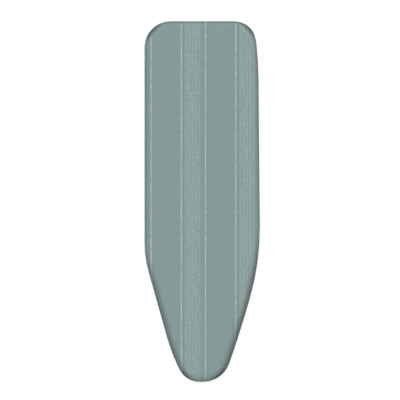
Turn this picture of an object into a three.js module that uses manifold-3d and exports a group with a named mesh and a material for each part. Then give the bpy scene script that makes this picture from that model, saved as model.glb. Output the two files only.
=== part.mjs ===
// An ironing board cover as it sits on its board: a striped cloth over a foam pad and a felt underlay,
// drawn in under the board by a corded hem and held across the underside by elastic straps with spring clips.
// Millimetres, +Z up. +Y points to the square tail and -Y to the nose. The origin is under the middle of the
// cover, on the surface that the clips and straps rest on.
import * as THREE from "three";
import { mergeVertices } from "three/addons/utils/BufferGeometryUtils.js";
import Module from "manifold-3d";

const wasm = await Module();
wasm.setup();

// Outline of the fitted cover, seen from above, with corners placed from the nose, the tail and the sides
const COVER_LENGTH = 1208;
const COVER_WIDTH = 386;
const TAIL_LEFT_RADIUS = 86;
const TAIL_RIGHT_RADIUS = 72;
const TAIL_RIGHT_INSET = 19.5;
const TAIL_SIDE_INSET = 4.5;
const TAIL_SIDE_DROP = 134;
const TAIL_SIDE_RADIUS = 1090;
const SHOULDER_RIGHT_BULGE = 1.5;
const SHOULDER_RIGHT_FROM_NOSE = 396;
const SHOULDER_RIGHT_RADIUS = 845;
const SHOULDER_LEFT_FROM_NOSE = 417;
const SHOULDER_LEFT_RADIUS = 345;
const NOSE_SIDE_RIGHT = 118;
const NOSE_SIDE_RIGHT_FROM_NOSE = 138;
const NOSE_SIDE_RIGHT_RADIUS = 2800;
const NOSE_SIDE_LEFT = 102.5;
const NOSE_SIDE_LEFT_FROM_NOSE = 95.5;
const NOSE_SIDE_LEFT_RADIUS = 585;
const NOSE_RIGHT = 69;
const NOSE_RIGHT_RADIUS = 92;
const NOSE_LEFT = 56;
const NOSE_LEFT_RADIUS = 74;

// Layers and the rim that they turn over
const CLOTH_THICKNESS = 0.8;
const FOAM_THICKNESS = 2.6;
const FELT_THICKNESS = 4;
const LAYER_GAP = 0.3;
const BOARD_DEPTH = 24;
const BOARD_CLEARANCE = 0.5;
const RIM_TOP_RADIUS = 15;
const RIM_BOTTOM_RADIUS = 10;
const FOAM_SKIRT = 7.5;

// Hem with its drawcord
const HEM_INSET = 62;
const HEM_CORNER_RADIUS = 40;
const FLANGE_RISE = 1.5;
const CORD_DIAMETER = 4;
const CASING_CLEARANCE = 0.5;
const CASING_WALL = 1;
const CASING_GAP = 44;
const CORD_SPACING = 11;
const CORD_BEND_RADIUS = 12;

// Cord lock and the end piece of the cord
const CORD_PLAY = 0.3;
const LOCK_WALL = 1.5;
const LOCK_SIDE_WALL = 2.7;
const LOCK_MOUTH_WALL = 2.7;
const LOCK_CORNER_RADIUS = 4;
const LOCK_FROM_BEND = 4;
const LOCK_TRAVEL = 40;
const PLUNGER_WIDTH = 10;
const PLUNGER_WALL = 1.4;
const PLUNGER_END_WALL = 2.2;
const BUTTON_TRAVEL = 3.5;
const BUTTON_THICKNESS = 3.2;
const BUTTON_WIDTH = 14;
const BUTTON_HEIGHT = 9;
const BUTTON_CORNER_RADIUS = 3;
const LOCK_SPRING_SPACE = 6;
const LOCK_SPRING_RADIUS = 2.4;
const LOCK_SPRING_WIRE = 0.6;
const LOCK_SPRING_TURNS = 3.5;
const CORD_END_SPARE = 5;
const CORD_END_LENGTH = 22;
const CORD_END_GRIP = 14;
const CORD_END_WALL = 2.4;
const CORD_END_SIDE_WALL = 4.2;
const CORD_END_CORNER_RADIUS = 3;

// Elastic straps
const STRAP_COUNT = 3;
const STRAP_FROM_TAIL = 214;
const STRAP_FROM_SHOULDER = 130;
const WEBBING_WIDTH = 16;
const WEBBING_THICKNESS = 1.5;
const WEBBING_LAP = 22;
const WEBBING_LOOP_RUN = 4.5;
const WEBBING_SEWN_LENGTH = 18;
const WEBBING_FLOOR_RUN = 3.5;
const WEBBING_RISE_RUN = 17.5;

// Spring clip at the free end of each strap
const CLIP_WIDTH = 22;
const CLIP_PLATE = 2;
const CLIP_CLEARANCE = 0.5;
const JAW_REACH = 10;
const JAW_TIP = 2.5;
const JAW_TAIL = 11;
const HINGE_FROM_HEM = 9;
const PIN_DIAMETER = 3;
const PIN_CLEARANCE = 0.3;
const PIN_RECESS = 0.2;
const KNUCKLE_WALL = 1.6;
const EAR_WIDTH = 4.5;
const KNUCKLE_WIDTH = 3.5;
const WEB_START = 12.5;
const WEB_RUN = 3;
const WEB_THICKNESS = 1.3;
const SLOT_LENGTH = 3.5;
const SLOT_SIDE_PLAY = 0.5;
const SLOT_LEAD = 1.7;
const BAR_LENGTH = 2.3;
const CLIP_SPRING_WIRE = 0.7;
const CLIP_SPRING_RADIUS = 2.45;
const CLIP_SPRING_PITCH = 1.25;
const CLIP_SPRING_TURNS = 2.5;
const CLIP_SPRING_LEG = 9;

// Care label, blank, sewn into the hem
const LABEL_WIDTH = 30;
const LABEL_LENGTH = 38;
const LABEL_THICKNESS = 0.5;
const LABEL_DROOP = 18;
const LABEL_FROM_TAIL = 150;

// How finely round stretches are divided, and the least straight stretch between two of them
const ARC_STEP = THREE.MathUtils.degToRad(12);
const ARC_SAG = 0.6;
const ARC_SPACING = 4;
const RIM_TOP_STEPS = 5;
const RIM_BOTTOM_STEPS = 3;
const CORD_SIDES = 8;
const WIRE_SIDES = 5;
const STEPS_PER_TURN = 8;
const HOLE_SEGMENTS = 16;
const SHAPE_SEGMENTS = 4;
const EASE_STEPS = 4;
const SPRING_SAMPLES = 240;

// Heights worked out from the floor upwards
const casingBore = CORD_DIAMETER / 2 + CASING_CLEARANCE;
const casingRadius = casingBore + CASING_WALL;
const hemHeight = CLIP_PLATE + CLIP_CLEARANCE + casingRadius;
const clipPlateUnderside = hemHeight + casingRadius + CLIP_CLEARANCE;
const boardUnderside = clipPlateUnderside + CLIP_PLATE + BOARD_CLEARANCE;
const feltUnderside = boardUnderside + BOARD_DEPTH;
const coverHeight = feltUnderside + FELT_THICKNESS + FOAM_THICKNESS + CLOTH_THICKNESS + 2 * LAYER_GAP;
const flangeUnderside = boardUnderside - LAYER_GAP - CLOTH_THICKNESS;
const rimTopCentre = coverHeight - RIM_TOP_RADIUS;
const rimBottomCentre = flangeUnderside + RIM_BOTTOM_RADIUS;
const foamOffset = CLOTH_THICKNESS + LAYER_GAP;
const feltOffset = foamOffset + FOAM_THICKNESS + LAYER_GAP;
const flangeToHem = casingRadius + LAYER_GAP;
const flangeEnd = HEM_INSET - flangeToHem;

const tailY = COVER_LENGTH / 2;
const noseY = -COVER_LENGTH / 2;
const leftX = -COVER_WIDTH / 2;
const rightX = COVER_WIDTH / 2;
const corners = [
  { x: leftX, y: tailY, radius: TAIL_LEFT_RADIUS },
  { x: leftX, y: noseY + SHOULDER_LEFT_FROM_NOSE, radius: SHOULDER_LEFT_RADIUS },
  { x: -NOSE_SIDE_LEFT, y: noseY + NOSE_SIDE_LEFT_FROM_NOSE, radius: NOSE_SIDE_LEFT_RADIUS },
  { x: -NOSE_LEFT, y: noseY, radius: NOSE_LEFT_RADIUS },
  { x: NOSE_RIGHT, y: noseY, radius: NOSE_RIGHT_RADIUS },
  { x: NOSE_SIDE_RIGHT, y: noseY + NOSE_SIDE_RIGHT_FROM_NOSE, radius: NOSE_SIDE_RIGHT_RADIUS },
  { x: rightX + SHOULDER_RIGHT_BULGE, y: noseY + SHOULDER_RIGHT_FROM_NOSE, radius: SHOULDER_RIGHT_RADIUS },
  { x: rightX - TAIL_SIDE_INSET, y: tailY - TAIL_SIDE_DROP, radius: TAIL_SIDE_RADIUS },
  { x: rightX - TAIL_RIGHT_INSET, y: tailY, radius: TAIL_RIGHT_RADIUS },
];

// Outline of the cover moved inwards and then spread out again with its corners rounder, as points from the
// tail's left corner round the nose to its right corner
function outlineAt(inset, spread = 0) {
  const count = corners.length;
  const edges = corners.map((corner, i) => {
    const next = corners[(i + 1) % count];
    const along = new THREE.Vector2(next.x - corner.x, next.y - corner.y).normalize();
    const inward = new THREE.Vector2(-along.y, along.x);
    const start = new THREE.Vector2(corner.x, corner.y).addScaledVector(inward, inset);
    return { along, inward, start };
  });
  const turns = corners.map((corner, i) => {
    const before = edges[(i + count - 1) % count];
    const after = edges[i];
    const turn = Math.acos(THREE.MathUtils.clamp(before.along.dot(after.along), -1, 1));
    const gap = after.start.clone().sub(before.start);
    const place = gap.cross(after.along) / before.along.cross(after.along);
    const point = before.start.clone().addScaledVector(before.along, place);
    const radius = Math.max(corner.radius - inset, (HEM_CORNER_RADIUS * inset) / HEM_INSET);
    return { point, turn, tangent: radius * Math.tan(turn / 2), full: corner.radius };
  });
  const limits = turns.map((here, i) => {
    const next = turns[(i + 1) % count];
    return (here.point.distanceTo(next.point) - ARC_SPACING) / (here.tangent + next.tangent);
  });
  return turns.flatMap(({ point, turn, tangent, full }, i) => {
    const before = edges[(i + count - 1) % count];
    const room = Math.min(1, limits[i], limits[(i + count - 1) % count]);
    const radius = (room * tangent) / Math.tan(turn / 2);
    const centre = point.clone().addScaledVector(before.along, -room * tangent);
    centre.addScaledVector(before.inward, radius);
    const from = Math.atan2(-before.inward.y, -before.inward.x);
    const steps = Math.ceil(turn / Math.min(ARC_STEP, 2 * Math.acos(1 - ARC_SAG / full)));
    return Array.from({ length: steps + 1 }, (_, k) => {
      const angle = from + (turn * k) / steps;
      const outward = new THREE.Vector2(Math.cos(angle), Math.sin(angle));
      return centre.clone().addScaledVector(outward, radius + spread);
    });
  });
}

function ringAt([inset, height, spread]) {
  return outlineAt(inset, spread).map((point) => new THREE.Vector3(point.x, point.y, height));
}

// Skin over a row of rings with equal numbers of points, each running counter-clockwise seen from before the
// first ring. An open row gets a cap at each end. A closed row joins its last ring to its first.
function skin(rings, closed = false) {
  const size = rings[0].length;
  const points = rings.flat();
  const faces = [];
  const last = closed ? rings.length : rings.length - 1;
  for (let ring = 0; ring < last; ring += 1) {
    const here = ring * size;
    const there = ((ring + 1) % rings.length) * size;
    for (let i = 0; i < size; i += 1) {
      const next = (i + 1) % size;
      faces.push(here + i, there + i, there + next);
      faces.push(here + i, there + next, here + next);
    }
  }
  const cap = (ring, reversed) => {
    const middle = new THREE.Vector3();
    rings[ring].forEach((point) => middle.addScaledVector(point, 1 / size));
    const centre = points.push(middle) - 1;
    for (let i = 0; i < size; i += 1) {
      const pair = [ring * size + i, ring * size + ((i + 1) % size)];
      faces.push(centre, ...(reversed ? pair.reverse() : pair));
    }
  };
  if (!closed) {
    cap(0, false);
    cap(rings.length - 1, true);
  }
  const geometry = new THREE.BufferGeometry().setFromPoints(points);
  geometry.setIndex(faces);
  geometry.computeVertexNormals();
  return geometry;
}

// Points on a quarter round of the rim, in inset and height, from one angle to another
function rimArc(centreInset, centreHeight, radius, fromAngle, toAngle, steps) {
  return Array.from({ length: steps + 1 }, (_, k) => {
    const angle = fromAngle + ((toAngle - fromAngle) * k) / steps;
    return [centreInset - radius * Math.cos(angle), centreHeight + radius * Math.sin(angle)];
  });
}

function rimTopArc(offset, toAngle = 0) {
  return rimArc(RIM_TOP_RADIUS, rimTopCentre, RIM_TOP_RADIUS - offset, Math.PI / 2, toAngle, RIM_TOP_STEPS);
}

function rimBottomArc(offset) {
  const radius = RIM_BOTTOM_RADIUS - offset;
  return rimArc(RIM_BOTTOM_RADIUS, rimBottomCentre, radius, 0, -Math.PI / 2, RIM_BOTTOM_STEPS);
}

// Height of the cloth's lower face under the board, where it runs from the rim down to the hem
const flangeEndUnderside = hemHeight + FLANGE_RISE - CLOTH_THICKNESS / 2;
function flangeUndersideAt(inset) {
  const share = (inset - RIM_BOTTOM_RADIUS) / (flangeEnd - RIM_BOTTOM_RADIUS);
  return THREE.MathUtils.lerp(flangeUnderside, flangeEndUnderside, share);
}

function clothGeometry() {
  const edge = (height) => [HEM_INSET, height, flangeToHem];
  const outside = [...rimTopArc(0), ...rimBottomArc(0), edge(flangeEndUnderside)];
  const inside = [
    ...rimTopArc(CLOTH_THICKNESS),
    ...rimBottomArc(CLOTH_THICKNESS),
    edge(flangeEndUnderside + CLOTH_THICKNESS),
  ];
  return skin([...outside, ...inside.reverse()].map(ringAt));
}

function foamGeometry() {
  const skirtEnd = rimTopCentre - FOAM_SKIRT;
  const outside = [...rimTopArc(foamOffset), [foamOffset, skirtEnd]];
  const inner = foamOffset + FOAM_THICKNESS;
  const inside = [...rimTopArc(inner), [inner, skirtEnd]];
  return skin([...outside, ...inside.reverse()].map(ringAt));
}

function feltGeometry() {
  const lowest = Math.asin((feltUnderside - rimTopCentre) / (RIM_TOP_RADIUS - feltOffset));
  return skin(rimTopArc(feltOffset, lowest).map(ringAt));
}

// Rings of a round tube along a flat path at one height
function tubeRings(path, height, radius, sides) {
  return path.map((point, i) => {
    const before = path[Math.max(i - 1, 0)];
    const after = path[Math.min(i + 1, path.length - 1)];
    const into = point.clone().sub(before).normalize();
    const out = after.clone().sub(point).normalize();
    const along = into.clone().add(out).normalize();
    const left = new THREE.Vector2(-along.y, along.x);
    const bend = Math.max(into.dot(along), out.dot(along));
    return Array.from({ length: sides }, (_, k) => {
      const angle = (-2 * Math.PI * k) / sides;
      const aside = (radius * Math.cos(angle)) / bend;
      const spot = point.clone().addScaledVector(left, aside);
      return new THREE.Vector3(spot.x, spot.y, height + radius * Math.sin(angle));
    });
  });
}

const hemLoop = outlineAt(HEM_INSET);
const hemTailY = tailY - HEM_INSET;

function casingGeometry() {
  const path = [
    new THREE.Vector2(-CASING_GAP / 2, hemTailY),
    ...hemLoop,
    new THREE.Vector2(CASING_GAP / 2, hemTailY),
  ];
  const outer = tubeRings(path, hemHeight, casingRadius, CORD_SIDES);
  const inner = tubeRings(path, hemHeight, casingBore, CORD_SIDES);
  return skin([...outer, ...inner.reverse()], true);
}

// Places along the tail's middle, where the cord leaves the hem
const cordX = CORD_SPACING / 2;
const cordHole = CORD_DIAMETER / 2 + CORD_PLAY;
const bendY = hemTailY - CORD_BEND_RADIUS;
const lockLength = PLUNGER_WIDTH + 2 * CORD_PLAY + 2 * LOCK_SIDE_WALL;
const lockY = bendY - LOCK_FROM_BEND - lockLength / 2;
const cordEndFaceY = lockY - lockLength / 2 - LOCK_TRAVEL - CORD_END_SPARE;
const cordEndY = cordEndFaceY - CORD_END_LENGTH / 2;
const cordTipY = cordEndFaceY - CORD_END_GRIP + CORD_PLAY;

// The cord runs from its end piece through the lock, round the whole hem and back
function drawcordGeometry() {
  const steps = Math.ceil(Math.PI / 2 / ARC_STEP);
  const bend = (side) =>
    Array.from({ length: steps + 1 }, (_, k) => {
      const angle = (Math.PI / 2) * (k / steps);
      const x = cordX + CORD_BEND_RADIUS * (1 - Math.cos(angle));
      return new THREE.Vector2(side * x, bendY + CORD_BEND_RADIUS * Math.sin(angle));
    });
  const path = [
    new THREE.Vector2(-cordX, cordTipY),
    ...bend(-1),
    ...hemLoop,
    ...bend(1).reverse(),
    new THREE.Vector2(cordX, cordTipY),
  ];
  return skin(tubeRings(path, hemHeight, CORD_DIAMETER / 2, CORD_SIDES));
}

// Closed solids for cutting and joining
function solidOf(geometry) {
  const bare = geometry.clone();
  bare.deleteAttribute("normal");
  bare.deleteAttribute("uv");
  const merged = mergeVertices(bare);
  const vertProperties = new Float32Array(merged.attributes.position.array);
  const triVerts = new Uint32Array(merged.index.array);
  return new wasm.Manifold(new wasm.Mesh({ numProp: 3, vertProperties, triVerts }));
}

function geometryOf(solid) {
  const { vertProperties, triVerts } = solid.getMesh();
  const geometry = new THREE.BufferGeometry();
  geometry.setAttribute("position", new THREE.BufferAttribute(new Float32Array(vertProperties), 3));
  geometry.setIndex(Array.from(triVerts));
  geometry.computeVertexNormals();
  return geometry;
}

function joined(first, ...others) {
  const solid = others.reduce((sum, geometry) => sum.add(solidOf(geometry)), solidOf(first));
  return geometryOf(solid);
}

function cut(first, ...tools) {
  const solid = tools.reduce((rest, geometry) => rest.subtract(solidOf(geometry)), solidOf(first));
  return geometryOf(solid);
}

// Shapes drawn in X and Z, or in Y and Z, and given a depth about the middle
const DEPTH_ALONG_Y = new THREE.Matrix4().makeBasis(
  new THREE.Vector3(1, 0, 0),
  new THREE.Vector3(0, 0, 1),
  new THREE.Vector3(0, -1, 0),
);
const DEPTH_ALONG_X = new THREE.Matrix4().makeBasis(
  new THREE.Vector3(0, 1, 0),
  new THREE.Vector3(0, 0, 1),
  new THREE.Vector3(1, 0, 0),
);

function slab(shape, depth, turn = DEPTH_ALONG_Y) {
  const options = { depth, bevelEnabled: false, curveSegments: SHAPE_SEGMENTS };
  const geometry = new THREE.ExtrudeGeometry(shape, options);
  return geometry.translate(0, 0, -depth / 2).applyMatrix4(turn);
}

function outlineShape(pairs) {
  return new THREE.Shape(pairs.map(([x, z]) => new THREE.Vector2(x, z)));
}

function roundedRectangle(width, height, radius) {
  const x = width / 2 - radius;
  const z = height / 2 - radius;
  const shape = new THREE.Shape();
  shape.absarc(x, z, radius, 0, Math.PI / 2);
  shape.absarc(-x, z, radius, Math.PI / 2, Math.PI);
  shape.absarc(-x, -z, radius, Math.PI, 1.5 * Math.PI);
  shape.absarc(x, -z, radius, 1.5 * Math.PI, 2 * Math.PI);
  shape.closePath();
  return shape;
}

function rodAlongY(radius, length, x, y, z) {
  return new THREE.CylinderGeometry(radius, radius, length, HOLE_SEGMENTS).translate(x, y, z);
}

// Cord lock, drawn about the cords' height and the lock's middle
const plungerInnerX = -cordX - cordHole - PLUNGER_END_WALL;
const pocketFloorX = plungerInnerX - LOCK_SPRING_SPACE;
const lockMouthX = cordX + cordHole + BUTTON_TRAVEL + LOCK_MOUTH_WALL;
const buttonX = lockMouthX + BUTTON_TRAVEL + CORD_PLAY;
const plungerHeight = 2 * (cordHole + PLUNGER_WALL);

function lockBarrelGeometry() {
  const pocketHeight = plungerHeight + 2 * CORD_PLAY;
  const backX = pocketFloorX - LOCK_WALL;
  const shell = roundedRectangle(lockMouthX - backX, pocketHeight + 2 * LOCK_WALL, LOCK_CORNER_RADIUS);
  const block = slab(shell, lockLength).translate((lockMouthX + backX) / 2, 0, 0);
  const pocketDepth = lockMouthX - pocketFloorX + LOCK_WALL;
  const pocket = new THREE.BoxGeometry(pocketDepth, PLUNGER_WIDTH + 2 * CORD_PLAY, pocketHeight);
  pocket.translate(pocketFloorX + pocketDepth / 2, 0, 0);
  const holes = [-cordX, cordX].map((x) => rodAlongY(cordHole, 2 * lockLength, x, 0, 0));
  return cut(block, pocket, ...holes);
}

function lockPlungerGeometry() {
  const shankLength = buttonX - plungerInnerX + BUTTON_THICKNESS / 2;
  const shank = new THREE.BoxGeometry(shankLength, PLUNGER_WIDTH, plungerHeight);
  shank.translate(plungerInnerX + shankLength / 2, 0, 0);
  const cap = slab(
    roundedRectangle(BUTTON_WIDTH, BUTTON_HEIGHT, BUTTON_CORNER_RADIUS),
    BUTTON_THICKNESS,
    DEPTH_ALONG_X,
  ).translate(buttonX + BUTTON_THICKNESS / 2, 0, 0);
  const slots = [-cordX, cordX].map((x) => {
    const shape = roundedRectangle(2 * cordHole + BUTTON_TRAVEL, 2 * cordHole, cordHole);
    return slab(shape, 2 * PLUNGER_WIDTH).translate(x + BUTTON_TRAVEL / 2, 0, 0);
  });
  return cut(joined(shank, cap), ...slots);
}

// Round wire along a curve
function wire(curve, diameter, steps) {
  const section = Array.from({ length: WIRE_SIDES }, (_, k) => {
    const angle = (2 * Math.PI * k) / WIRE_SIDES;
    return new THREE.Vector2(Math.cos(angle), Math.sin(angle)).multiplyScalar(diameter / 2);
  });
  return new THREE.ExtrudeGeometry(new THREE.Shape(section), { steps, extrudePath: curve });
}

// Least gap between turns of a wound wire, measured on points along it that are half a turn or more apart
function reportLeastGap(name, curve, diameter, turnRadius) {
  const samples = curve.getSpacedPoints(SPRING_SAMPLES);
  const step = curve.getLength() / SPRING_SAMPLES;
  const apart = Math.ceil((Math.PI * turnRadius) / step);
  let least = Infinity;
  samples.forEach((point, i) => {
    samples.slice(i + apart).forEach((other) => {
      least = Math.min(least, point.distanceTo(other) - diameter);
    });
  });
  console.log(`${name}: least gap between turns ${least.toFixed(2)} mm`);
}

function lockSpringGeometry() {
  const from = pocketFloorX + CORD_PLAY + LOCK_SPRING_WIRE / 2;
  const to = plungerInnerX - CORD_PLAY - LOCK_SPRING_WIRE / 2;
  const steps = LOCK_SPRING_TURNS * STEPS_PER_TURN;
  const points = Array.from({ length: steps + 1 }, (_, k) => {
    const angle = (2 * Math.PI * k) / STEPS_PER_TURN;
    const x = THREE.MathUtils.lerp(from, to, k / steps);
    return new THREE.Vector3(x, LOCK_SPRING_RADIUS * Math.cos(angle), LOCK_SPRING_RADIUS * Math.sin(angle));
  });
  const curve = new THREE.CatmullRomCurve3(points);
  reportLeastGap("cord_lock_spring", curve, LOCK_SPRING_WIRE, LOCK_SPRING_RADIUS);
  return wire(curve, LOCK_SPRING_WIRE, steps);
}

function cordEndGeometry() {
  const width = CORD_SPACING + 2 * (cordHole + CORD_END_SIDE_WALL);
  const height = 2 * (cordHole + CORD_END_WALL);
  const block = slab(roundedRectangle(width, height, CORD_END_CORNER_RADIUS), CORD_END_LENGTH);
  const holeMiddle = CORD_END_LENGTH / 2;
  const holes = [-cordX, cordX].map((x) => rodAlongY(cordHole, 2 * CORD_END_GRIP, x, holeMiddle, 0));
  return cut(block, ...holes);
}

// Spring clip, drawn with X inboard from the middle of the hem and Z from the floor
const knuckleRadius = PIN_DIAMETER / 2 + PIN_CLEARANCE + KNUCKLE_WALL;
const pinHole = PIN_DIAMETER / 2 + PIN_CLEARANCE;
const jawTipInset = HEM_INSET - JAW_REACH;
const upperTipHeight = flangeUndersideAt(jawTipInset) + CLOTH_THICKNESS + LAYER_GAP;
const lowerTipHeight = flangeUndersideAt(jawTipInset + JAW_TIP) - LAYER_GAP;
const webX = HINGE_FROM_HEM + WEB_START;
const slotX = webX + WEB_RUN + SLOT_LEAD;
const barX = slotX + SLOT_LENGTH;
const clipEndX = barX + BAR_LENGTH;

// Hinge lug: a round eye at the pin with a straight foot that reaches up or down to its plate
function lug(footHeight, width, y) {
  const shape = new THREE.Shape();
  const upward = footHeight > hemHeight;
  const start = upward ? Math.PI : 0;
  const left = HINGE_FROM_HEM - knuckleRadius;
  const right = HINGE_FROM_HEM + knuckleRadius;
  shape.moveTo(upward ? left : right, footHeight);
  shape.absarc(HINGE_FROM_HEM, hemHeight, knuckleRadius, start, start + Math.PI);
  shape.lineTo(upward ? right : left, footHeight);
  shape.closePath();
  const eye = rodAlongY(pinHole, 2 * width, HINGE_FROM_HEM, y, hemHeight);
  return cut(slab(shape, width).translate(0, y, 0), eye);
}

function clipBodyGeometry() {
  const plateTop = clipPlateUnderside + CLIP_PLATE;
  const barLow = hemHeight - CLIP_PLATE / 2;
  const barHigh = hemHeight + CLIP_PLATE / 2;
  const profile = outlineShape([
    [-JAW_REACH, upperTipHeight],
    [JAW_TIP - JAW_REACH, upperTipHeight],
    [JAW_TIP - JAW_REACH, clipPlateUnderside],
    [webX, clipPlateUnderside],
    [webX + WEB_RUN, barLow],
    [clipEndX, barLow],
    [clipEndX, barHigh],
    [webX + WEB_RUN + WEB_THICKNESS, barHigh],
    [webX + WEB_THICKNESS, plateTop],
    [-JAW_REACH, plateTop],
  ]);
  const earMiddle = (CLIP_WIDTH - EAR_WIDTH) / 2;
  const ears = [-earMiddle, earMiddle].map((y) => lug(clipPlateUnderside + CLIP_PLATE / 2, EAR_WIDTH, y));
  const slotWidth = WEBBING_WIDTH + 2 * SLOT_SIDE_PLAY;
  const slot = new THREE.BoxGeometry(SLOT_LENGTH, slotWidth, 2 * CLIP_PLATE);
  slot.translate(slotX + SLOT_LENGTH / 2, 0, hemHeight);
  return cut(joined(slab(profile, CLIP_WIDTH), ...ears), slot);
}

function clipJawGeometry() {
  const profile = outlineShape([
    [-JAW_REACH, 0],
    [HINGE_FROM_HEM + JAW_TAIL, 0],
    [HINGE_FROM_HEM + JAW_TAIL, CLIP_PLATE],
    [JAW_TIP - JAW_REACH, CLIP_PLATE],
    [JAW_TIP - JAW_REACH, lowerTipHeight],
    [-JAW_REACH, lowerTipHeight],
  ]);
  const knuckleMiddle = CLIP_WIDTH / 2 - EAR_WIDTH - PIN_CLEARANCE - KNUCKLE_WIDTH / 2;
  const knuckles = [-knuckleMiddle, knuckleMiddle].map((y) => lug(CLIP_PLATE / 2, KNUCKLE_WIDTH, y));
  return joined(slab(profile, CLIP_WIDTH), ...knuckles);
}

function clipPinGeometry() {
  return rodAlongY(PIN_DIAMETER / 2, CLIP_WIDTH - 2 * PIN_RECESS, HINGE_FROM_HEM, 0, hemHeight);
}

// Torsion spring on the pin: one leg lies on the jaw's tail and one under the upper plate
function clipSpringGeometry() {
  const legX = HINGE_FROM_HEM + CLIP_SPRING_LEG;
  const seat = CLIP_SPRING_WIRE / 2 + LAYER_GAP;
  const halfCoil = (CLIP_SPRING_PITCH * CLIP_SPRING_TURNS) / 2;
  const steps = CLIP_SPRING_TURNS * STEPS_PER_TURN;
  const coil = Array.from({ length: steps + 1 }, (_, k) => {
    const angle = -Math.PI / 2 - (2 * Math.PI * k) / STEPS_PER_TURN;
    const x = HINGE_FROM_HEM + CLIP_SPRING_RADIUS * Math.cos(angle);
    const y = THREE.MathUtils.lerp(-halfCoil, halfCoil, k / steps);
    return new THREE.Vector3(x, y, hemHeight + CLIP_SPRING_RADIUS * Math.sin(angle));
  });
  const points = [
    new THREE.Vector3(legX, -halfCoil, CLIP_PLATE + seat),
    ...coil,
    new THREE.Vector3(legX, halfCoil, clipPlateUnderside - seat),
  ];
  const curve = new THREE.CatmullRomCurve3(points, false, "centripetal");
  reportLeastGap("clip spring", curve, CLIP_SPRING_WIRE, CLIP_SPRING_RADIUS);
  return wire(curve, CLIP_SPRING_WIRE, 2 * steps);
}

// Where the hem crosses a given Y on the left (-1) or the right (+1)
function hemXAt(y, side) {
  const crossings = hemLoop.flatMap((point, i) => {
    const next = hemLoop[(i + 1) % hemLoop.length];
    if ((point.y - y) * (next.y - y) > 0 || point.y === next.y) {
      return [];
    }
    return [THREE.MathUtils.lerp(point.x, next.x, (y - point.y) / (next.y - point.y))];
  });
  return side < 0 ? Math.min(...crossings) : Math.max(...crossings);
}

// Two sides of a band of even thickness along a row of points in X and Z
function bandSides(points, thickness) {
  const path = points.map(([x, z]) => new THREE.Vector2(x, z));
  const sides = { upper: [], lower: [] };
  path.forEach((point, i) => {
    const into = point.clone().sub(path[Math.max(i - 1, 0)]).normalize();
    const out = path[Math.min(i + 1, path.length - 1)].clone().sub(point).normalize();
    const along = into.clone().add(out).normalize();
    const reach = thickness / 2 / Math.max(into.dot(along), out.dot(along));
    const normal = new THREE.Vector2(-along.y, along.x).multiplyScalar(reach);
    sides.upper.push([point.x + normal.x, point.y + normal.y]);
    sides.lower.push([point.x - normal.x, point.y - normal.y]);
  });
  return sides;
}

// Points of a smooth step in height from one place to another
function easeBetween([fromX, fromZ], [toX, toZ]) {
  return Array.from({ length: EASE_STEPS + 1 }, (_, k) => {
    const share = k / EASE_STEPS;
    const fall = THREE.MathUtils.smoothstep(share, 0, 1);
    return [THREE.MathUtils.lerp(fromX, toX, share), THREE.MathUtils.lerp(fromZ, toZ, fall)];
  });
}

// Strap: sewn to the cloth outside the left hem, taken under the hem and across, then round the clip's bar
function webbingGeometry(y) {
  const half = WEBBING_THICKNESS / 2;
  const leftHemX = hemXAt(y, -1);
  const rightHemX = hemXAt(y, 1);
  const wrapRadius = hemHeight - half;
  const sewnStart = HEM_INSET - wrapRadius - 2 * WEBBING_THICKNESS;
  const sewn = [sewnStart - WEBBING_SEWN_LENGTH, sewnStart].map((inset) => {
    return [inset - HEM_INSET, flangeUndersideAt(inset) - LAYER_GAP - half];
  });
  const wrap = Array.from({ length: EASE_STEPS }, (_, k) => {
    const angle = Math.PI + (Math.PI / 2) * ((k + 1) / EASE_STEPS);
    return [wrapRadius * Math.cos(angle), hemHeight + wrapRadius * Math.sin(angle)];
  });
  const rise = easeBetween([WEBBING_FLOOR_RUN, half], [WEBBING_FLOOR_RUN + WEBBING_RISE_RUN, hemHeight]);
  const run = [...sewn, ...wrap, ...rise].map(([inboard, z]) => [leftHemX + inboard, z]);
  const loopGap = CLIP_PLATE / 2 + LAYER_GAP;
  const fromClip = (inboard) => rightHemX - inboard;
  const lapEnd = clipEndX + LAYER_GAP + 2 * WEBBING_LOOP_RUN + WEBBING_LAP;
  const sides = bandSides([...run, [fromClip(lapEnd), hemHeight]], WEBBING_THICKNESS);
  const loopStart = clipEndX + LAYER_GAP + WEBBING_LOOP_RUN / 2;
  const loopEnd = loopStart + WEBBING_LOOP_RUN;
  const turnX = barX - LAYER_GAP - WEBBING_THICKNESS;
  const end = (sign) => [
    [fromClip(lapEnd), hemHeight + sign * WEBBING_THICKNESS],
    [fromClip(loopEnd), hemHeight + sign * WEBBING_THICKNESS],
    [fromClip(loopStart), hemHeight + sign * (loopGap + WEBBING_THICKNESS)],
    [fromClip(turnX), hemHeight + sign * (loopGap + WEBBING_THICKNESS)],
  ];
  const profile = outlineShape([...sides.lower, ...end(-1), ...end(1).reverse(), ...sides.upper.reverse()]);
  const eye = [
    [fromClip(barX - LAYER_GAP), hemHeight - loopGap],
    [fromClip(barX - LAYER_GAP), hemHeight + loopGap],
    [fromClip(loopStart), hemHeight + loopGap],
    [fromClip(loopEnd - WEBBING_THICKNESS), hemHeight],
    [fromClip(loopStart), hemHeight - loopGap],
  ];
  profile.holes.push(new THREE.Path(eye.map(([x, z]) => new THREE.Vector2(x, z))));
  return slab(profile, WEBBING_WIDTH).translate(0, y, 0);
}

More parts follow.
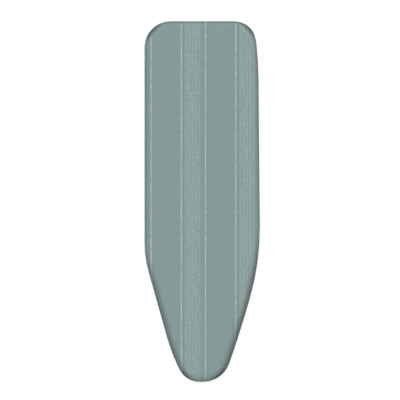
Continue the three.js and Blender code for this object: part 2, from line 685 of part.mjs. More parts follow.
// The label leaves the hem, droops to the floor and lies flat
function labelGeometry(y) {
  const hemX = hemXAt(y, -1);
  const half = LABEL_THICKNESS / 2;
  const start = casingRadius + LAYER_GAP;
  const droop = easeBetween([start, hemHeight], [start + LABEL_DROOP, half]);
  const run = [...droop, [start + LABEL_LENGTH, half]].map(([inboard, z]) => [hemX + inboard, z]);
  const sides = bandSides(run, LABEL_THICKNESS);
  const profile = outlineShape([...sides.lower, ...sides.upper.reverse()]);
  return slab(profile, LABEL_WIDTH).translate(0, y, 0);
}

// Finishes
function finish(color, roughness, metalness = 0) {
  return () => new THREE.MeshStandardMaterial({ color, roughness, metalness });
}

const clothFinish = finish(0x869b99, 0.85);
const foamFinish = finish(0xe6dfc6, 0.95);
const feltFinish = finish(0xd6d4cd, 1);
const casingFinish = finish(0x7c908e, 0.85);
const cordFinish = finish(0xe4e4df, 0.8);
const webbingFinish = finish(0xdcdedb, 0.8);
const labelFinish = finish(0xf2f2ee, 0.7);
const plasticFinish = finish(0x5c6a6a, 0.45);
const buttonFinish = finish(0xc9d0cf, 0.45);
const steelFinish = finish(0xb9bdc0, 0.3, 1);

const cover = new THREE.Group();

function place(parent, name, geometry, material) {
  const mesh = new THREE.Mesh(geometry, material());
  mesh.name = name;
  parent.add(mesh);
}

place(cover, "cover_cloth", clothGeometry(), clothFinish);
place(cover, "foam_pad", foamGeometry(), foamFinish);
place(cover, "felt_underlay", feltGeometry(), feltFinish);
place(cover, "hem_casing", casingGeometry(), casingFinish);
place(cover, "drawcord", drawcordGeometry(), cordFinish);
place(cover, "care_label", labelGeometry(tailY - LABEL_FROM_TAIL), labelFinish);

const lock = new THREE.Group();
lock.position.set(0, lockY, hemHeight);
place(lock, "cord_lock_barrel", lockBarrelGeometry(), plasticFinish);
place(lock, "cord_lock_button", lockPlungerGeometry(), buttonFinish);
place(lock, "cord_lock_spring", lockSpringGeometry(), steelFinish);
cover.add(lock);

const cordEnd = new THREE.Group();
cordEnd.position.set(0, cordEndY, hemHeight);
place(cordEnd, "cord_end_piece", cordEndGeometry(), plasticFinish);
cover.add(cordEnd);

const firstStrapY = tailY - STRAP_FROM_TAIL;
const lastStrapY = noseY + SHOULDER_RIGHT_FROM_NOSE + STRAP_FROM_SHOULDER;
for (let k = 0; k < STRAP_COUNT; k += 1) {
  const y = THREE.MathUtils.lerp(firstStrapY, lastStrapY, k / (STRAP_COUNT - 1));
  const name = `strap_${k + 1}`;
  place(cover, `${name}_webbing`, webbingGeometry(y), webbingFinish);
  const clip = new THREE.Group();
  clip.position.set(hemXAt(y, 1), y, 0);
  clip.rotation.z = Math.PI;
  place(clip, `${name}_clip_body`, clipBodyGeometry(), plasticFinish);
  place(clip, `${name}_clip_jaw`, clipJawGeometry(), plasticFinish);
  place(clip, `${name}_clip_pin`, clipPinGeometry(), steelFinish);
  place(clip, `${name}_clip_spring`, clipSpringGeometry(), steelFinish);
  cover.add(clip);
}

export default cover;
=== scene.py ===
import math

import bmesh
import bpy
import numpy as np
from bpy.props import FloatProperty, FloatVectorProperty, IntProperty, PointerProperty
from bpy.types import Operator, Panel, PropertyGroup
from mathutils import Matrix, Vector, geometry


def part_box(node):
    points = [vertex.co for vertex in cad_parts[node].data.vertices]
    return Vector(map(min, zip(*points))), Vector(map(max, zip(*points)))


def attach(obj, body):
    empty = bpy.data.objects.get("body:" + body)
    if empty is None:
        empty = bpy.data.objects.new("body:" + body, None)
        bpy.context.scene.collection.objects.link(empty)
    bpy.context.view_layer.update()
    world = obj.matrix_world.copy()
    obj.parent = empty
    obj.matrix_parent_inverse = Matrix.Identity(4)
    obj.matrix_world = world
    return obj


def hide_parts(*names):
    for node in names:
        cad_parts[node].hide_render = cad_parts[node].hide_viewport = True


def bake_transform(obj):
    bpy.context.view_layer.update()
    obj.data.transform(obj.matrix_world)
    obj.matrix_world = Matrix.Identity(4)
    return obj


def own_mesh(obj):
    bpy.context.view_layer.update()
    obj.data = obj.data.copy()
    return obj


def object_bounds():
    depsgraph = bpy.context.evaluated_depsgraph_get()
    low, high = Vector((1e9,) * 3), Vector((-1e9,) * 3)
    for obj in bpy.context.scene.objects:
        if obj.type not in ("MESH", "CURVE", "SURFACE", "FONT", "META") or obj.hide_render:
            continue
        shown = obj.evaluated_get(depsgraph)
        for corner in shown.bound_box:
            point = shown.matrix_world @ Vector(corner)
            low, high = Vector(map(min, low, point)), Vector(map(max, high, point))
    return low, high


bl_info = {
    "name": "Ironing Board Cover",
    "version": (1, 0, 0),
    "blender": (4, 5, 0),
    "location": "3D View > Sidebar > Board Cover",
    "description": "Striped cloth over foam and felt, with a corded hem, elastic straps and spring clips",
    "category": "Object",
}

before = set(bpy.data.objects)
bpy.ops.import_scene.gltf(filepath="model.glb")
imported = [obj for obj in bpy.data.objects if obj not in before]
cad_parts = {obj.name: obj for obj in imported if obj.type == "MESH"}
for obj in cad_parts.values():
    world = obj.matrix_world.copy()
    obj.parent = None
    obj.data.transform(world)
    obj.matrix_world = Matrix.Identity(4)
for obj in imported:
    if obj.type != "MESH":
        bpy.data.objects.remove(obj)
cad_low, cad_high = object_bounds()

MM = 0.001
STRAPS = (1, 2, 3)

# The cloth's rings over the rim's rounding, down its wall, round under the board and in to the hem
ROUNDING_RINGS = 13
WALL_RINGS = 2
TUCK_RINGS = 8
FLANGE_RINGS = 16

# Share of its depth that a gather already has where the cloth turns under
FOLD_AT_RIM = 0.22

# How far from the middle of a strap and of the label the gathers start, and where they are full
STRAP_CLEARANCE = (11 * MM, 30 * MM)
LABEL_CLEARANCE = (16 * MM, 34 * MM)

# How the cloth handles while its gathers settle, how far a point of it may move and how low it may go
SETTLING_FRAMES = 18
SETTLING_GRAVITY = 0.35
SETTLING_REACH = 3.2 * MM
SETTLING_FLOOR = 1.2 * MM
CLOTH_HAND = {
    "quality": 6,
    "mass": 0.18,
    "tension_stiffness": 12,
    "compression_stiffness": 12,
    "shear_stiffness": 4,
    "bending_stiffness": 0.12,
    "shrink_min": -0.09,
}

# Half the width of a strap's sewn boxes as a share of the webbing's, and how far under its face they lie
BOX_HALF_WIDTH = 0.36
LAP_STITCH_DROP = 0.08 * MM
END_STITCH_DROP = 0.1 * MM

# How far the sewn boxes stay in from the two ends of the lap and of the sewn end
LAP_BOX_INSETS = (3 * MM, 2 * MM)
END_BOX_INSETS = (2 * MM, 1 * MM)

# How far a strap's sewn end falls on its way to the hem
SEWN_END_FALL = 1.6 * MM

# The width of a grip's grooves and the length of their row, in pitches
GROOVE_WIDTH = 0.48
GROOVE_ROW = 4.2

# Where the grips start on the clips and the lock, and their shares of these pieces' widths
CLIP_GRIP_START = 2 * MM
CLIP_GRIP_SHARE = 0.7
LOCK_GRIP_START = 4.6 * MM
LOCK_GRIP_SHARE = 0.62
END_GRIP_SHARE = 0.5

# The angles from which a moulded edge is rounded, and from which a moulded or a turned edge looks sharp
ROUNDED_FROM = math.radians(38)
SHARP_FROM = math.radians(42)
PIN_SHARP_FROM = math.radians(30)

WIRE_STEPS_PER_TURN = 28


def screen(red, green, blue):
    """The linear colour of a screen colour given as 0 to 255."""
    shares = (value / 255 for value in (red, green, blue))
    return tuple(s / 12.92 if s <= 0.04045 else ((s + 0.055) / 1.055) ** 2.4 for s in shares)


def number(name, description, default, **limits):
    """A setting for any number."""
    return FloatProperty(name=name, description=description, default=default, **limits)


def length(name, description, default):
    """A setting for a length in metres."""
    return number(name, description, default, min=0.0, unit="LENGTH", precision=5)


def place(name, description, default):
    """A setting for a place along an axis, in metres, on either side of the middle."""
    return number(name, description, default, unit="LENGTH", precision=5)


def share(name, description, default):
    """A setting for a share from none to all."""
    return number(name, description, default, min=0.0, max=1.0, subtype="FACTOR")


def level(name, description, default):
    """A setting for a lamp's or the sky's strength."""
    return number(name, description, default, min=0.0)


def turn(name, description, degrees):
    """A setting for an angle."""
    return number(name, description, math.radians(degrees), subtype="ANGLE")


def count(name, description, default):
    """A setting for a number of like things."""
    return IntProperty(name=name, description=description, default=default, min=1)


def colour(name, description, *shade):
    """A setting for a colour, whose default is given as a screen colour."""
    limits = {"min": 0.0, "max": 1.0, "size": 3, "subtype": "COLOR"}
    return FloatVectorProperty(name=name, description=description, default=screen(*shade), **limits)


class ClothSettings(PropertyGroup):
    """Sizes and colours of the striped cloth."""

    thickness: length("Thickness", "Thickness of the cloth", 0.8 * MM)
    rim_spread: length("Rim spread", "How far in from the sides the top starts to round off", 24 * MM)
    left_spread: length("Left spread", "How far in from the left side the top starts to round off", 32 * MM)
    corner_spread: length("Corner spread", "How far in from the tail's corners the top rounds off", 34 * MM)
    taper_spread: length("Taper spread", "How far in from the tapers the top starts to round off", 44 * MM)
    nose_spread: length("Nose spread", "How far in from the nose the top starts to round off", 36 * MM)
    tail_spread: length("Tail spread", "How far in from the tail the top starts to round off", 20 * MM)
    rim_drop: length("Rim drop", "Depth of the rounding at the top edge", 21 * MM)
    rim_tuck: length("Rim tuck", "Radius of the rounding under the board", 10 * MM)
    flange_height: length("Flange height", "Height of the cloth's lower face under the board", 11.4 * MM)
    column_step: length("Column step", "Spacing of the mesh along the rim", 3.2 * MM)
    top_step: length("Top step", "Spacing of the mesh on the ironing face", 9 * MM)
    # Painted shade: how far the cloth's colour is darkened over the rim, standing in for shade at the
    # tapers, the nose's corners, the tail and the left side
    painted_rim_shade: share("Rim shade", "How much darker the cloth is where it is drawn over the tapers", 0.36)
    top_relief: length("Top relief", "Unevenness of the padded ironing face", 0.35 * MM)
    fold_depth: length("Fold depth", "Depth of the gathers where the hem is drawn in most", 6 * MM)
    fold_pitch: length("Fold pitch", "Spacing of the gathers along the hem", 11 * MM)
    stripe_repeat: length("Stripe repeat", "Width of one plain and one streaked band", 181.7 * MM)
    plain_width: length("Plain band", "Width of the plain band between two lines", 100.8 * MM)
    first_line: place("First line", "Place of a line with a plain band on its right", -170.4 * MM)
    line_width: length("Line width", "Width of the light line between two bands", 3.9 * MM)
    streak_pitch: length("Streak pitch", "Spacing of the streaks in a streaked band", 11 * MM)
    streak_start: length("Streak start", "Distance from a line to the first streak on its right", 17 * MM)
    weave_pitch: length("Weave pitch", "Spacing of the threads", 1.3 * MM)
    plain_colour: colour("Plain", "Colour of the plain bands", 134, 155, 153)
    shade_colour: colour("Shade", "Colour beside the lines", 131, 151, 149)
    streak_colour: colour("Streak", "Colour of the light streaks", 173, 193, 191)
    line_colour: colour("Line", "Colour of the light lines", 185, 205, 202)


class PaddingSettings(PropertyGroup):
    """Sizes and colours of the foam pad and the felt underlay."""

    layer_gap: length("Layer gap", "Gap between one layer and the next", 0.3 * MM)
    foam_thickness: length("Foam thickness", "Thickness of the foam pad", 2.6 * MM)
    foam_fill: share("Foam fill", "How tightly the foam fills its cover", 0.7)
    foam_colour: colour("Foam", "Colour of the foam", 231, 224, 200)
    felt_colour: colour("Felt", "Colour of the felt", 214, 212, 204)
    fleck_colour: colour("Fleck", "Colour of the darker fibres in the felt", 120, 126, 132)


class HemSettings(PropertyGroup):
    """Sizes and colours of the hem, its stitches, the drawcord and the care label."""

    bore: length("Bore", "Radius of the tunnel for the cord", 2.5 * MM)
    pucker: length("Pucker", "Depth of the puckers along the tunnel", 0.8 * MM)
    gap: length("Gap", "Opening of the tunnel at the tail, where the cord comes out", 44 * MM)
    seam: length("Seam", "Width of the seam that joins the tunnel to the cloth", 1 * MM)
    cord_diameter: length("Cord diameter", "Diameter of the drawcord", 4 * MM)
    cord_spacing: length("Cord spacing", "Distance between the two runs of cord at the tail", 11 * MM)
    cord_bend: length("Cord bend", "Radius of the cord's bend out of the hem", 12 * MM)
    braid_pitch: length("Braid pitch", "Length of one turn of the braid's strands", 15 * MM)
    braid_strands: count("Braid strands", "Strands of the braid that turn each way", 6)
    stitch_length: length("Stitch length", "Length of one stitch", 2.6 * MM)
    stitch_gap: length("Stitch gap", "Gap between two stitches", 0.9 * MM)
    thread_radius: length("Thread radius", "Radius of the sewing thread", 0.24 * MM)
    label_thickness: length("Label thickness", "Thickness of the care label", 0.5 * MM)
    tape_colour: colour("Tape", "Colour of the hem's tunnel", 124, 144, 142)
    cord_colour: colour("Cord", "Colour of the drawcord", 226, 226, 220)
    thread_colour: colour("Thread", "Colour of the hem's sewing thread", 196, 206, 204)
    strap_thread_colour: colour("Strap thread", "Colour of the straps' sewing thread", 112, 130, 128)
    label_colour: colour("Label", "Colour of the blank care label", 224, 224, 217)


class StrapSettings(PropertyGroup):
    """Sizes and colours of the elastic straps."""

    thickness: length("Thickness", "Thickness of the webbing", 1.5 * MM)
    sewn_length: length("Sewn length", "Length of strap that is sewn to the cloth", 18 * MM)
    floor_run: length("Floor run", "Length of strap that lies lowest under the hem", 3.5 * MM)
    rise_run: length("Rise run", "Length over which the strap rises from under the hem", 17.5 * MM)
    lap: length("Lap", "Length of the sewn lap at the clip", 22 * MM)
    loop_run: length("Loop run", "Length over which the lap opens round the clip's bar", 4.5 * MM)
    ribs: count("Ribs", "Cords that run along the webbing", 9)
    rib_depth: length("Rib depth", "Depth of the grooves between the cords", 0.22 * MM)
    webbing_colour: colour("Webbing", "Colour of the elastic webbing", 219, 222, 218)
    # The groove colour also stands for painted shade between the cords
    groove_colour: colour("Groove", "Colour between the cords of the webbing", 176, 182, 180)


class FittingSettings(PropertyGroup):
    """Sizes and colours of the clips, the cord lock and the cord's end piece."""

    rounding: length("Rounding", "Radius of the moulded edges", 0.4 * MM)
    grip_pitch: length("Grip pitch", "Spacing of the grip grooves", 1.9 * MM)
    grip_depth: length("Grip depth", "Depth of the grip grooves", 0.45 * MM)
    clip_wire: length("Clip wire", "Diameter of the clip spring's wire", 0.7 * MM)
    clip_coil: length("Clip coil", "Radius of the clip spring's coil", 2.45 * MM)
    clip_pitch: length("Clip pitch", "Rise of the clip spring's coil in one turn", 1.25 * MM)
    clip_turns: number("Clip turns", "Turns of the clip spring's coil", 2.5, min=0.5)
    clip_leg: length("Clip leg", "Length of the clip spring's legs from the pin", 9 * MM)
    lock_wire: length("Lock wire", "Diameter of the lock spring's wire", 0.6 * MM)
    lock_turns: number("Lock turns", "Turns of the lock spring", 3.5, min=0.5)
    pin_chamfer: length("Pin chamfer", "Chamfer at the ends of the hinge pins", 0.35 * MM)
    plastic_colour: colour("Plastic", "Colour of the clips, the lock and the end piece", 92, 106, 106)
    button_colour: colour("Button", "Colour of the lock's button", 201, 208, 207)
    steel_colour: colour("Steel", "Colour of the springs and pins", 190, 193, 196)


class StageSettings(PropertyGroup):
    """Camera, floor and light."""

    view_width: length("View width", "Width that the picture shows at the rim's height", 1340.6 * MM)
    view_x: place("View across", "Place across the cover that the camera looks at", -7.1 * MM)
    view_y: place("View along", "Place along the cover that the camera looks at", 5.3 * MM)
    lens: number("Lens", "Focal length of the camera", 100.0, unit="CAMERA")
    floor_size: length("Floor size", "Side of the square floor", 12.0)
    floor_colour: colour("Floor", "Colour of the floor", 254, 254, 254)
    floor_glow: share("Floor glow", "Share of the floor's white that no shadow takes away", 0.85)
    key_level: level("Key light", "Strength of the soft main light", 3.34)
    key_lean: turn("Key lean", "How far the main light leans away from straight above", 15)
    key_side: turn("Key side", "Direction that the main light comes from, from the tail to the right", -12)
    key_softness: turn("Key softness", "Apparent size of the main light", 30)
    under_level: level("Under light", "Strength of the light that shows the underside", 1.5)
    under_fill: level("Under fill", "Strength of the light that fills the underside's shadows", 0.6)
    under_lean: turn("Under lean", "How far the lights below lean away from straight below", 27)
    under_softness: turn("Under softness", "Apparent size of the lights below", 20)
    under_side: turn("Under side", "Direction that the underside's light comes from", -75)
    fill_side: turn("Fill side", "Direction that the underside's filling light comes from", 65)
    sky_level: level("Sky", "Strength of the light from all round above", 0.03)
    ground_level: level("Ground", "Strength of the light from all round below", 0.4)


class BoardCoverSettings(PropertyGroup):
    """Everything about the cover that a user would change."""

    cloth: PointerProperty(type=ClothSettings)
    padding: PointerProperty(type=PaddingSettings)
    hem: PointerProperty(type=HemSettings)
    strap: PointerProperty(type=StrapSettings)
    fitting: PointerProperty(type=FittingSettings)
    stage: PointerProperty(type=StageSettings)


# Node trees and materials


def opaque(tint):
    """A colour with its alpha, or a socket as it is."""
    return tint if isinstance(tint, bpy.types.NodeSocket) else (*tint, 1.0)


class Graph:
    """Builds a node tree, one node at a call."""

    def __init__(self, tree):
        self.tree = tree

    def feed(self, socket, value):
        if isinstance(value, bpy.types.NodeSocket):
            self.tree.links.new(value, socket)
        else:
            socket.default_value = value

    def node(self, kind, inputs=None, **settings):
        made = self.tree.nodes.new(kind)
        for name, value in settings.items():
            setattr(made, name, value)
        for key, value in (inputs or {}).items():
            self.feed(made.inputs[key], value)
        return made

    def math(self, operation, *values):
        return self.node("ShaderNodeMath", dict(enumerate(values)), operation=operation).outputs[0]

    def times(self, first, second):
        return self.math("MULTIPLY", first, second)

    def minus(self, first, second):
        return self.math("SUBTRACT", first, second)

    def ramp(self, value, from_low, from_high, to_low=0.0, to_high=1.0):
        inputs = dict(enumerate((value, from_low, from_high, to_low, to_high)))
        return self.node("ShaderNodeMapRange", inputs, interpolation_type="SMOOTHSTEP").outputs[0]

    def drift(self, noise, start, end=0.0):
        """A soft change from one value to another over the middle of a noise."""
        return self.ramp(noise, 0.3, 0.7, start, end)

    def mix(self, factor, first, second):
        inputs = {0: factor, 6: opaque(first), 7: opaque(second)}
        return self.node("ShaderNodeMix", inputs, data_type="RGBA").outputs[2]

    def split(self, vector):
        return self.node("ShaderNodeSeparateXYZ", {0: vector}).outputs

    def join(self, x, y, z=0.0):
        return self.node("ShaderNodeCombineXYZ", {0: x, 1: y, 2: z}).outputs[0]

    def stretched(self, vector, x_size, y_size, z_size=1.0, angle=0.0):
        """Coordinates that a texture's unit cell of the given sizes fits, turned about Z."""
        inputs = {"Vector": vector, "Rotation": (0.0, 0.0, angle), "Scale": (x_size, y_size, z_size)}
        return self.node("ShaderNodeMapping", inputs, vector_type="TEXTURE").outputs[0]

    def noise(self, vector, scale=1.0, detail=2.0, roughness=0.5):
        inputs = {"Vector": vector, "Scale": scale, "Detail": detail, "Roughness": roughness}
        return self.node("ShaderNodeTexNoise", inputs).outputs[0]

    def cells(self, vector, scale):
        return self.node("ShaderNodeTexVoronoi", {"Vector": vector, "Scale": scale}).outputs["Distance"]

    def wave(self, value, pitch):
        """A wave from 0 to 1 with one crest in each pitch."""
        angle = self.times(value, 2 * math.pi / pitch)
        return self.math("MULTIPLY_ADD", self.math("SINE", angle), 0.5, 0.5)

    def uv(self, name):
        return self.node("ShaderNodeUVMap", uv_map=name).outputs[0]

    def values(self, name):
        return self.node("ShaderNodeAttribute", attribute_name=name).outputs["Fac"]

    def objects_own(self):
        return self.node("ShaderNodeTexCoord").outputs["Object"]

    def bump(self, height, distance, strength, below=None):
        inputs = {"Height": height, "Distance": distance, "Strength": strength}
        if below is not None:
            inputs["Normal"] = below
        return self.node("ShaderNodeBump", inputs).outputs[0]

    def seen_directly(self):
        """One for what the camera sees straight, in a reflection or through glass, and else nothing."""
        path = self.node("ShaderNodeLightPath").outputs
        seen = self.math("MAXIMUM", path["Is Camera Ray"], path["Is Glossy Ray"])
        return self.math("MAXIMUM", seen, path["Is Transmission Ray"])


class Finish(Graph):
    """A material's node tree with its main shader."""

    def __init__(self, name):
        self.material = bpy.data.materials.new(name)
        self.material.use_nodes = True
        super().__init__(self.material.node_tree)
        self.shader = self.tree.nodes["Principled BSDF"]

    def done(self, **inputs):
        """The material, once its main shader has these inputs."""
        for name, value in inputs.items():
            self.feed(self.shader.inputs[name.replace("_", " ").title()], value)
        return self.material


def emptied(owner):
    """The graph of a material or a world, with no nodes in it."""
    owner.use_nodes = True
    owner.node_tree.nodes.clear()
    return Graph(owner.node_tree)


def striped_cloth_material(cloth):
    """Woven cloth with plain and streaked bands, parted by light lines, laid out on the flat cloth."""
    graph = Finish("woven_stripes")
    flat = graph.uv("flat_cloth")
    across, along, _ = graph.split(flat)
    _, _, height = graph.split(graph.objects_own())
    rim_start, rim_foot = (cad_high.z - part * cloth.rim_drop for part in (0.03, 0.6))
    on_top = graph.ramp(height, rim_foot, rim_start, 0.45, 1.0)

    phase = graph.math("WRAP", graph.minus(across, cloth.first_line), cloth.stripe_repeat, 0.0)
    into_band = graph.minus(phase, cloth.plain_width)
    to_first = graph.math("MINIMUM", phase, graph.minus(cloth.stripe_repeat, phase))
    to_line = graph.math("MINIMUM", to_first, graph.math("ABSOLUTE", into_band))
    line = graph.ramp(to_line, 0.62 * cloth.line_width, 0.34 * cloth.line_width)
    beads = graph.noise(graph.stretched(flat, 30 * MM, 9 * MM), detail=2.5, roughness=0.65)
    line = graph.times(line, graph.ramp(beads, 0.36, 0.66, 0.32, 1.0))
    line = graph.times(line, on_top)
    beside = graph.ramp(to_line, 0.5 * cloth.line_width, cloth.line_width)
    flank = graph.times(beside, graph.ramp(to_line, 2.6 * cloth.line_width, cloth.line_width))

    streaked_width = cloth.stripe_repeat - cloth.plain_width
    rise = graph.ramp(into_band, 0.1 * streaked_width, 0.22 * streaked_width)
    fall = graph.ramp(into_band, 0.9 * streaked_width, 0.66 * streaked_width)
    sway = graph.noise(graph.stretched(flat, 9 * MM, 70 * MM), detail=1.0)
    from_first = graph.minus(into_band, cloth.streak_start - cloth.streak_pitch / 4)
    swayed = graph.math("MULTIPLY_ADD", sway, 0.3 * cloth.streak_pitch, from_first)
    rows = graph.wave(swayed, cloth.streak_pitch)
    rows = graph.times(rows, rows)
    fine_rows = graph.wave(swayed, 0.5 * cloth.streak_pitch)
    short_dashes = graph.noise(graph.stretched(flat, 4.4 * MM, 8.5 * MM), detail=1.0)
    long_dashes = graph.noise(graph.stretched(flat, 4 * MM, 46 * MM), detail=2.0, roughness=0.6)
    dashes = graph.math("MULTIPLY_ADD", short_dashes, 0.58, graph.times(long_dashes, 0.42))
    dashes = graph.ramp(dashes, 0.48, 0.66)
    streak = graph.math("MULTIPLY_ADD", rows, 0.25, graph.times(fine_rows, 0.03))
    streak = graph.math("MULTIPLY_ADD", dashes, 0.47, streak)
    streak = graph.times(graph.times(graph.times(rise, fall), on_top), streak)

    slubs = graph.noise(graph.stretched(flat, 1.6 * MM, 40 * MM))
    warp, weft = (graph.wave(way, cloth.weave_pitch) for way in (across, along))
    crossing = graph.math("ABSOLUTE", graph.minus(warp, weft))
    tint = graph.mix(flank, cloth.plain_colour, cloth.shade_colour)
    tint = graph.mix(streak, tint, cloth.streak_colour)
    tint = graph.mix(line, tint, cloth.line_colour)
    # Painted shade between the threads of the weave, together with the slubs' uneven tone
    valleys = graph.math("MULTIPLY_ADD", crossing, 0.1, graph.drift(slubs, 0.06))
    tint = graph.mix(valleys, tint, (0.12, 0.15, 0.15))
    # Painted shade: darkens the colour towards black over the rim, by the amount that each point holds
    tint = graph.mix(graph.values("painted_rim_shade"), tint, (0.0, 0.0, 0.0))
    raised = graph.math("MULTIPLY_ADD", line, 0.8, graph.times(streak, 0.5))
    relief = graph.bump(raised, 0.25 * MM, 0.35)
    weave = graph.bump(crossing, 0.2 * MM, 0.6, relief)
    graph.shader.inputs["Specular IOR Level"].default_value = 0.03
    return graph.done(base_color=tint, roughness=graph.drift(slubs, 0.92, 0.8), normal=weave)


def foam_material(padding):
    """Open-cell foam."""
    graph = Finish("open_cell_foam")
    spot = graph.objects_own()
    pores = graph.ramp(graph.cells(spot, 900.0), 0.1, 0.6)
    mottle = graph.noise(spot, 60.0, 3.0)
    tint = graph.mix(graph.drift(mottle, 0.0, 0.25), padding.foam_colour, (0.62, 0.53, 0.34))
    # Painted shade in the hollows of the pores
    tint = graph.mix(graph.ramp(pores, 0.0, 0.6, 0.45, 0.0), tint, (0.3, 0.26, 0.18))
    return graph.done(base_color=tint, roughness=0.95, normal=graph.bump(pores, 0.4 * MM, 0.6))


def felt_material(padding):
    """Needle felt of mixed fibres, with the needles' faint rows."""
    graph = Finish("needle_felt")
    spot = graph.objects_own()
    layers = []
    for degrees in (17, 71, 128):
        combed = graph.stretched(spot, 0.6 * MM, 5 * MM, 1 * MM, math.radians(degrees))
        layers.append(graph.noise(combed, detail=3.0, roughness=0.7))
    fibres = graph.math("MAXIMUM", layers[0], graph.math("MAXIMUM", layers[1], layers[2]))
    clouds = graph.noise(spot, 28.0, 4.0, 0.6)
    flecks = graph.noise(graph.stretched(spot, 1 * MM, 3.4 * MM, 1 * MM, math.radians(50)))
    x, y, _ = graph.split(spot)
    needled = graph.times(graph.wave(x, 5.2 * MM), graph.wave(y, 7.4 * MM))
    tint = graph.mix(graph.drift(clouds, 0.0, 0.3), padding.felt_colour, (0.4, 0.4, 0.38))
    tint = graph.mix(graph.ramp(flecks, 0.62, 0.74, 0.0, 0.45), tint, padding.fleck_colour)
    tint = graph.mix(graph.ramp(fibres, 0.45, 0.75, 0.3, 0.0), tint, (0.2, 0.2, 0.2))
    rows = graph.bump(needled, 0.5 * MM, 0.25)
    nap = graph.bump(fibres, 0.8 * MM, 0.8, rows)
    return graph.done(base_color=tint, roughness=1.0, sheen_weight=0.15, normal=nap)


def tape_material(hem):
    """Plain woven hem cloth, crossed by the creases of its gathers, with painted shade in the creases and
    between the threads.
    """
    graph = Finish("gathered_tape")
    along, around, _ = graph.split(graph.uv("run"))
    creases = graph.noise(graph.join(graph.times(along, 260.0), around), detail=3.0)
    weave = graph.math("ABSOLUTE", graph.minus(graph.wave(along, 1.2 * MM), graph.wave(around, 0.06)))
    # Painted shade in the hollows of the creases
    tint = graph.mix(graph.drift(creases, 0.35), hem.tape_colour, (0.08, 0.11, 0.11))
    # Painted shade between the threads of the weave
    tint = graph.mix(graph.times(weave, 0.12), tint, (0.1, 0.13, 0.13))
    folds = graph.bump(creases, 0.6 * MM, 0.5)
    return graph.done(base_color=tint, roughness=0.88, normal=graph.bump(weave, 0.15 * MM, 0.5, folds))


def cord_material(hem):
    """Braided cord, with painted shade in the valleys between its strands."""
    graph = Finish("braided_cord")
    strands = graph.values("braid")
    yarn = graph.noise(graph.stretched(graph.uv("run"), 0.67 * MM, 0.033))
    # Painted shade in the valleys between the strands
    tint = graph.mix(graph.ramp(strands, 0.0, 0.7, 0.6, 0.0), hem.cord_colour, (0.28, 0.28, 0.26))
    tint = graph.mix(graph.drift(yarn, 0.18), tint, (0.3, 0.3, 0.28))
    return graph.done(base_color=tint, roughness=0.8, normal=graph.bump(yarn, 0.12 * MM, 0.4))


def thread_material(name, shade):
    """Twisted sewing thread."""
    graph = Finish(name)
    twist = graph.noise(graph.objects_own(), 2600.0, 1.0)
    tint = graph.mix(graph.drift(twist, 0.3), shade, tuple(0.5 * c for c in shade))
    return graph.done(base_color=tint, roughness=0.6, normal=graph.bump(twist, 0.08 * MM, 0.5))


def label_material(hem):
    """Blank woven satin label."""
    graph = Finish("satin_label")
    spot = graph.objects_own()
    x, y, _ = graph.split(spot)
    floats = graph.noise(graph.stretched(spot, 4 * MM, 0.35 * MM, 1 * MM), detail=1.0)
    weave = graph.times(graph.wave(x, 0.9 * MM), graph.wave(y, 0.7 * MM))
    tint = graph.mix(graph.drift(floats, 0.14), hem.label_colour, (0.45, 0.45, 0.43))
    dull = graph.drift(floats, 0.55, 0.4)
    return graph.done(base_color=tint, roughness=dull, normal=graph.bump(weave, 0.08 * MM, 0.4))


def webbing_material(strap):
    """Elastic webbing: cords along it, bound by close crosswise threads."""
    graph = Finish("ribbed_webbing")
    run = graph.uv("run")
    across, along, _ = graph.split(run)
    ribs = graph.wave(across, 1.0 / strap.ribs)
    picks = graph.wave(along, 1.1 * MM)
    yarn = graph.noise(graph.stretched(run, 0.017, 1.1 * MM))
    # Painted shade between the cords, in the groove colour
    tint = graph.mix(graph.ramp(ribs, 0.0, 0.55, 0.8, 0.0), strap.webbing_colour, strap.groove_colour)
    tint = graph.mix(graph.times(picks, 0.16), tint, strap.groove_colour)
    tint = graph.mix(graph.drift(yarn, 0.15), tint, (0.3, 0.32, 0.31))
    return graph.done(base_color=tint, roughness=0.75, normal=graph.bump(picks, 0.25 * MM, 0.6))


def plastic_material(name, tint, roughness):
    """Moulded plastic with a fine spark-eroded grain and paler rubbed patches."""
    graph = Finish(name)
    spot = graph.objects_own()
    grain = graph.noise(spot, 2400.0)
    flow = graph.noise(spot, 160.0, 3.0)
    rubbed = graph.ramp(graph.noise(spot, 420.0, 4.0, 0.7), 0.58, 0.8, 0.0, 0.1)
    shade = graph.mix(graph.drift(flow, 0.12), tint, tuple(0.55 * c for c in tint))
    shade = graph.mix(rubbed, shade, tuple(min(1.0, 1.5 * c + 0.04) for c in tint))
    dull = graph.ramp(flow, 0.25, 0.75, roughness - 0.03, roughness + 0.06)
    return graph.done(base_color=shade, roughness=dull, normal=graph.bump(grain, 0.05 * MM, 0.35))


def steel_material(fitting):
    """Drawn spring wire with fine die lines and dull patches."""
    graph = Finish("drawn_steel")
    spot = graph.objects_own()
    lines = graph.noise(graph.stretched(spot, 0.15 * MM, 3 * MM, 0.15 * MM))
    patches = graph.noise(spot, 380.0, 3.0)
    tint = graph.mix(graph.ramp(patches, 0.35, 0.7, 0.0, 0.4), fitting.steel_colour, (0.24, 0.23, 0.22))
    dull = graph.drift(patches, 0.24, 0.45)
    relief = graph.bump(lines, 0.03 * MM, 0.3)
    return graph.done(base_color=tint, roughness=dull, metallic=1.0, normal=relief)


# Paths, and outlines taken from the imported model


def between(first, second, part):
    """The value that lies a part of the way from one value to another."""
    return first + (second - first) * part


def smooth_step(value, low, high):
    """0 up to a low limit, 1 from a high one, and a soft rise between them."""
    part = np.clip((value - low) / (high - low), 0.0, 1.0)
    return part * part * (3 - 2 * part)


def hump(value, rise_start, rise_end, fall_start, fall_end):
    """A soft rise from 0 to 1 and a soft fall back to 0."""
    return smooth_step(value, rise_start, rise_end) * (1 - smooth_step(value, fall_start, fall_end))


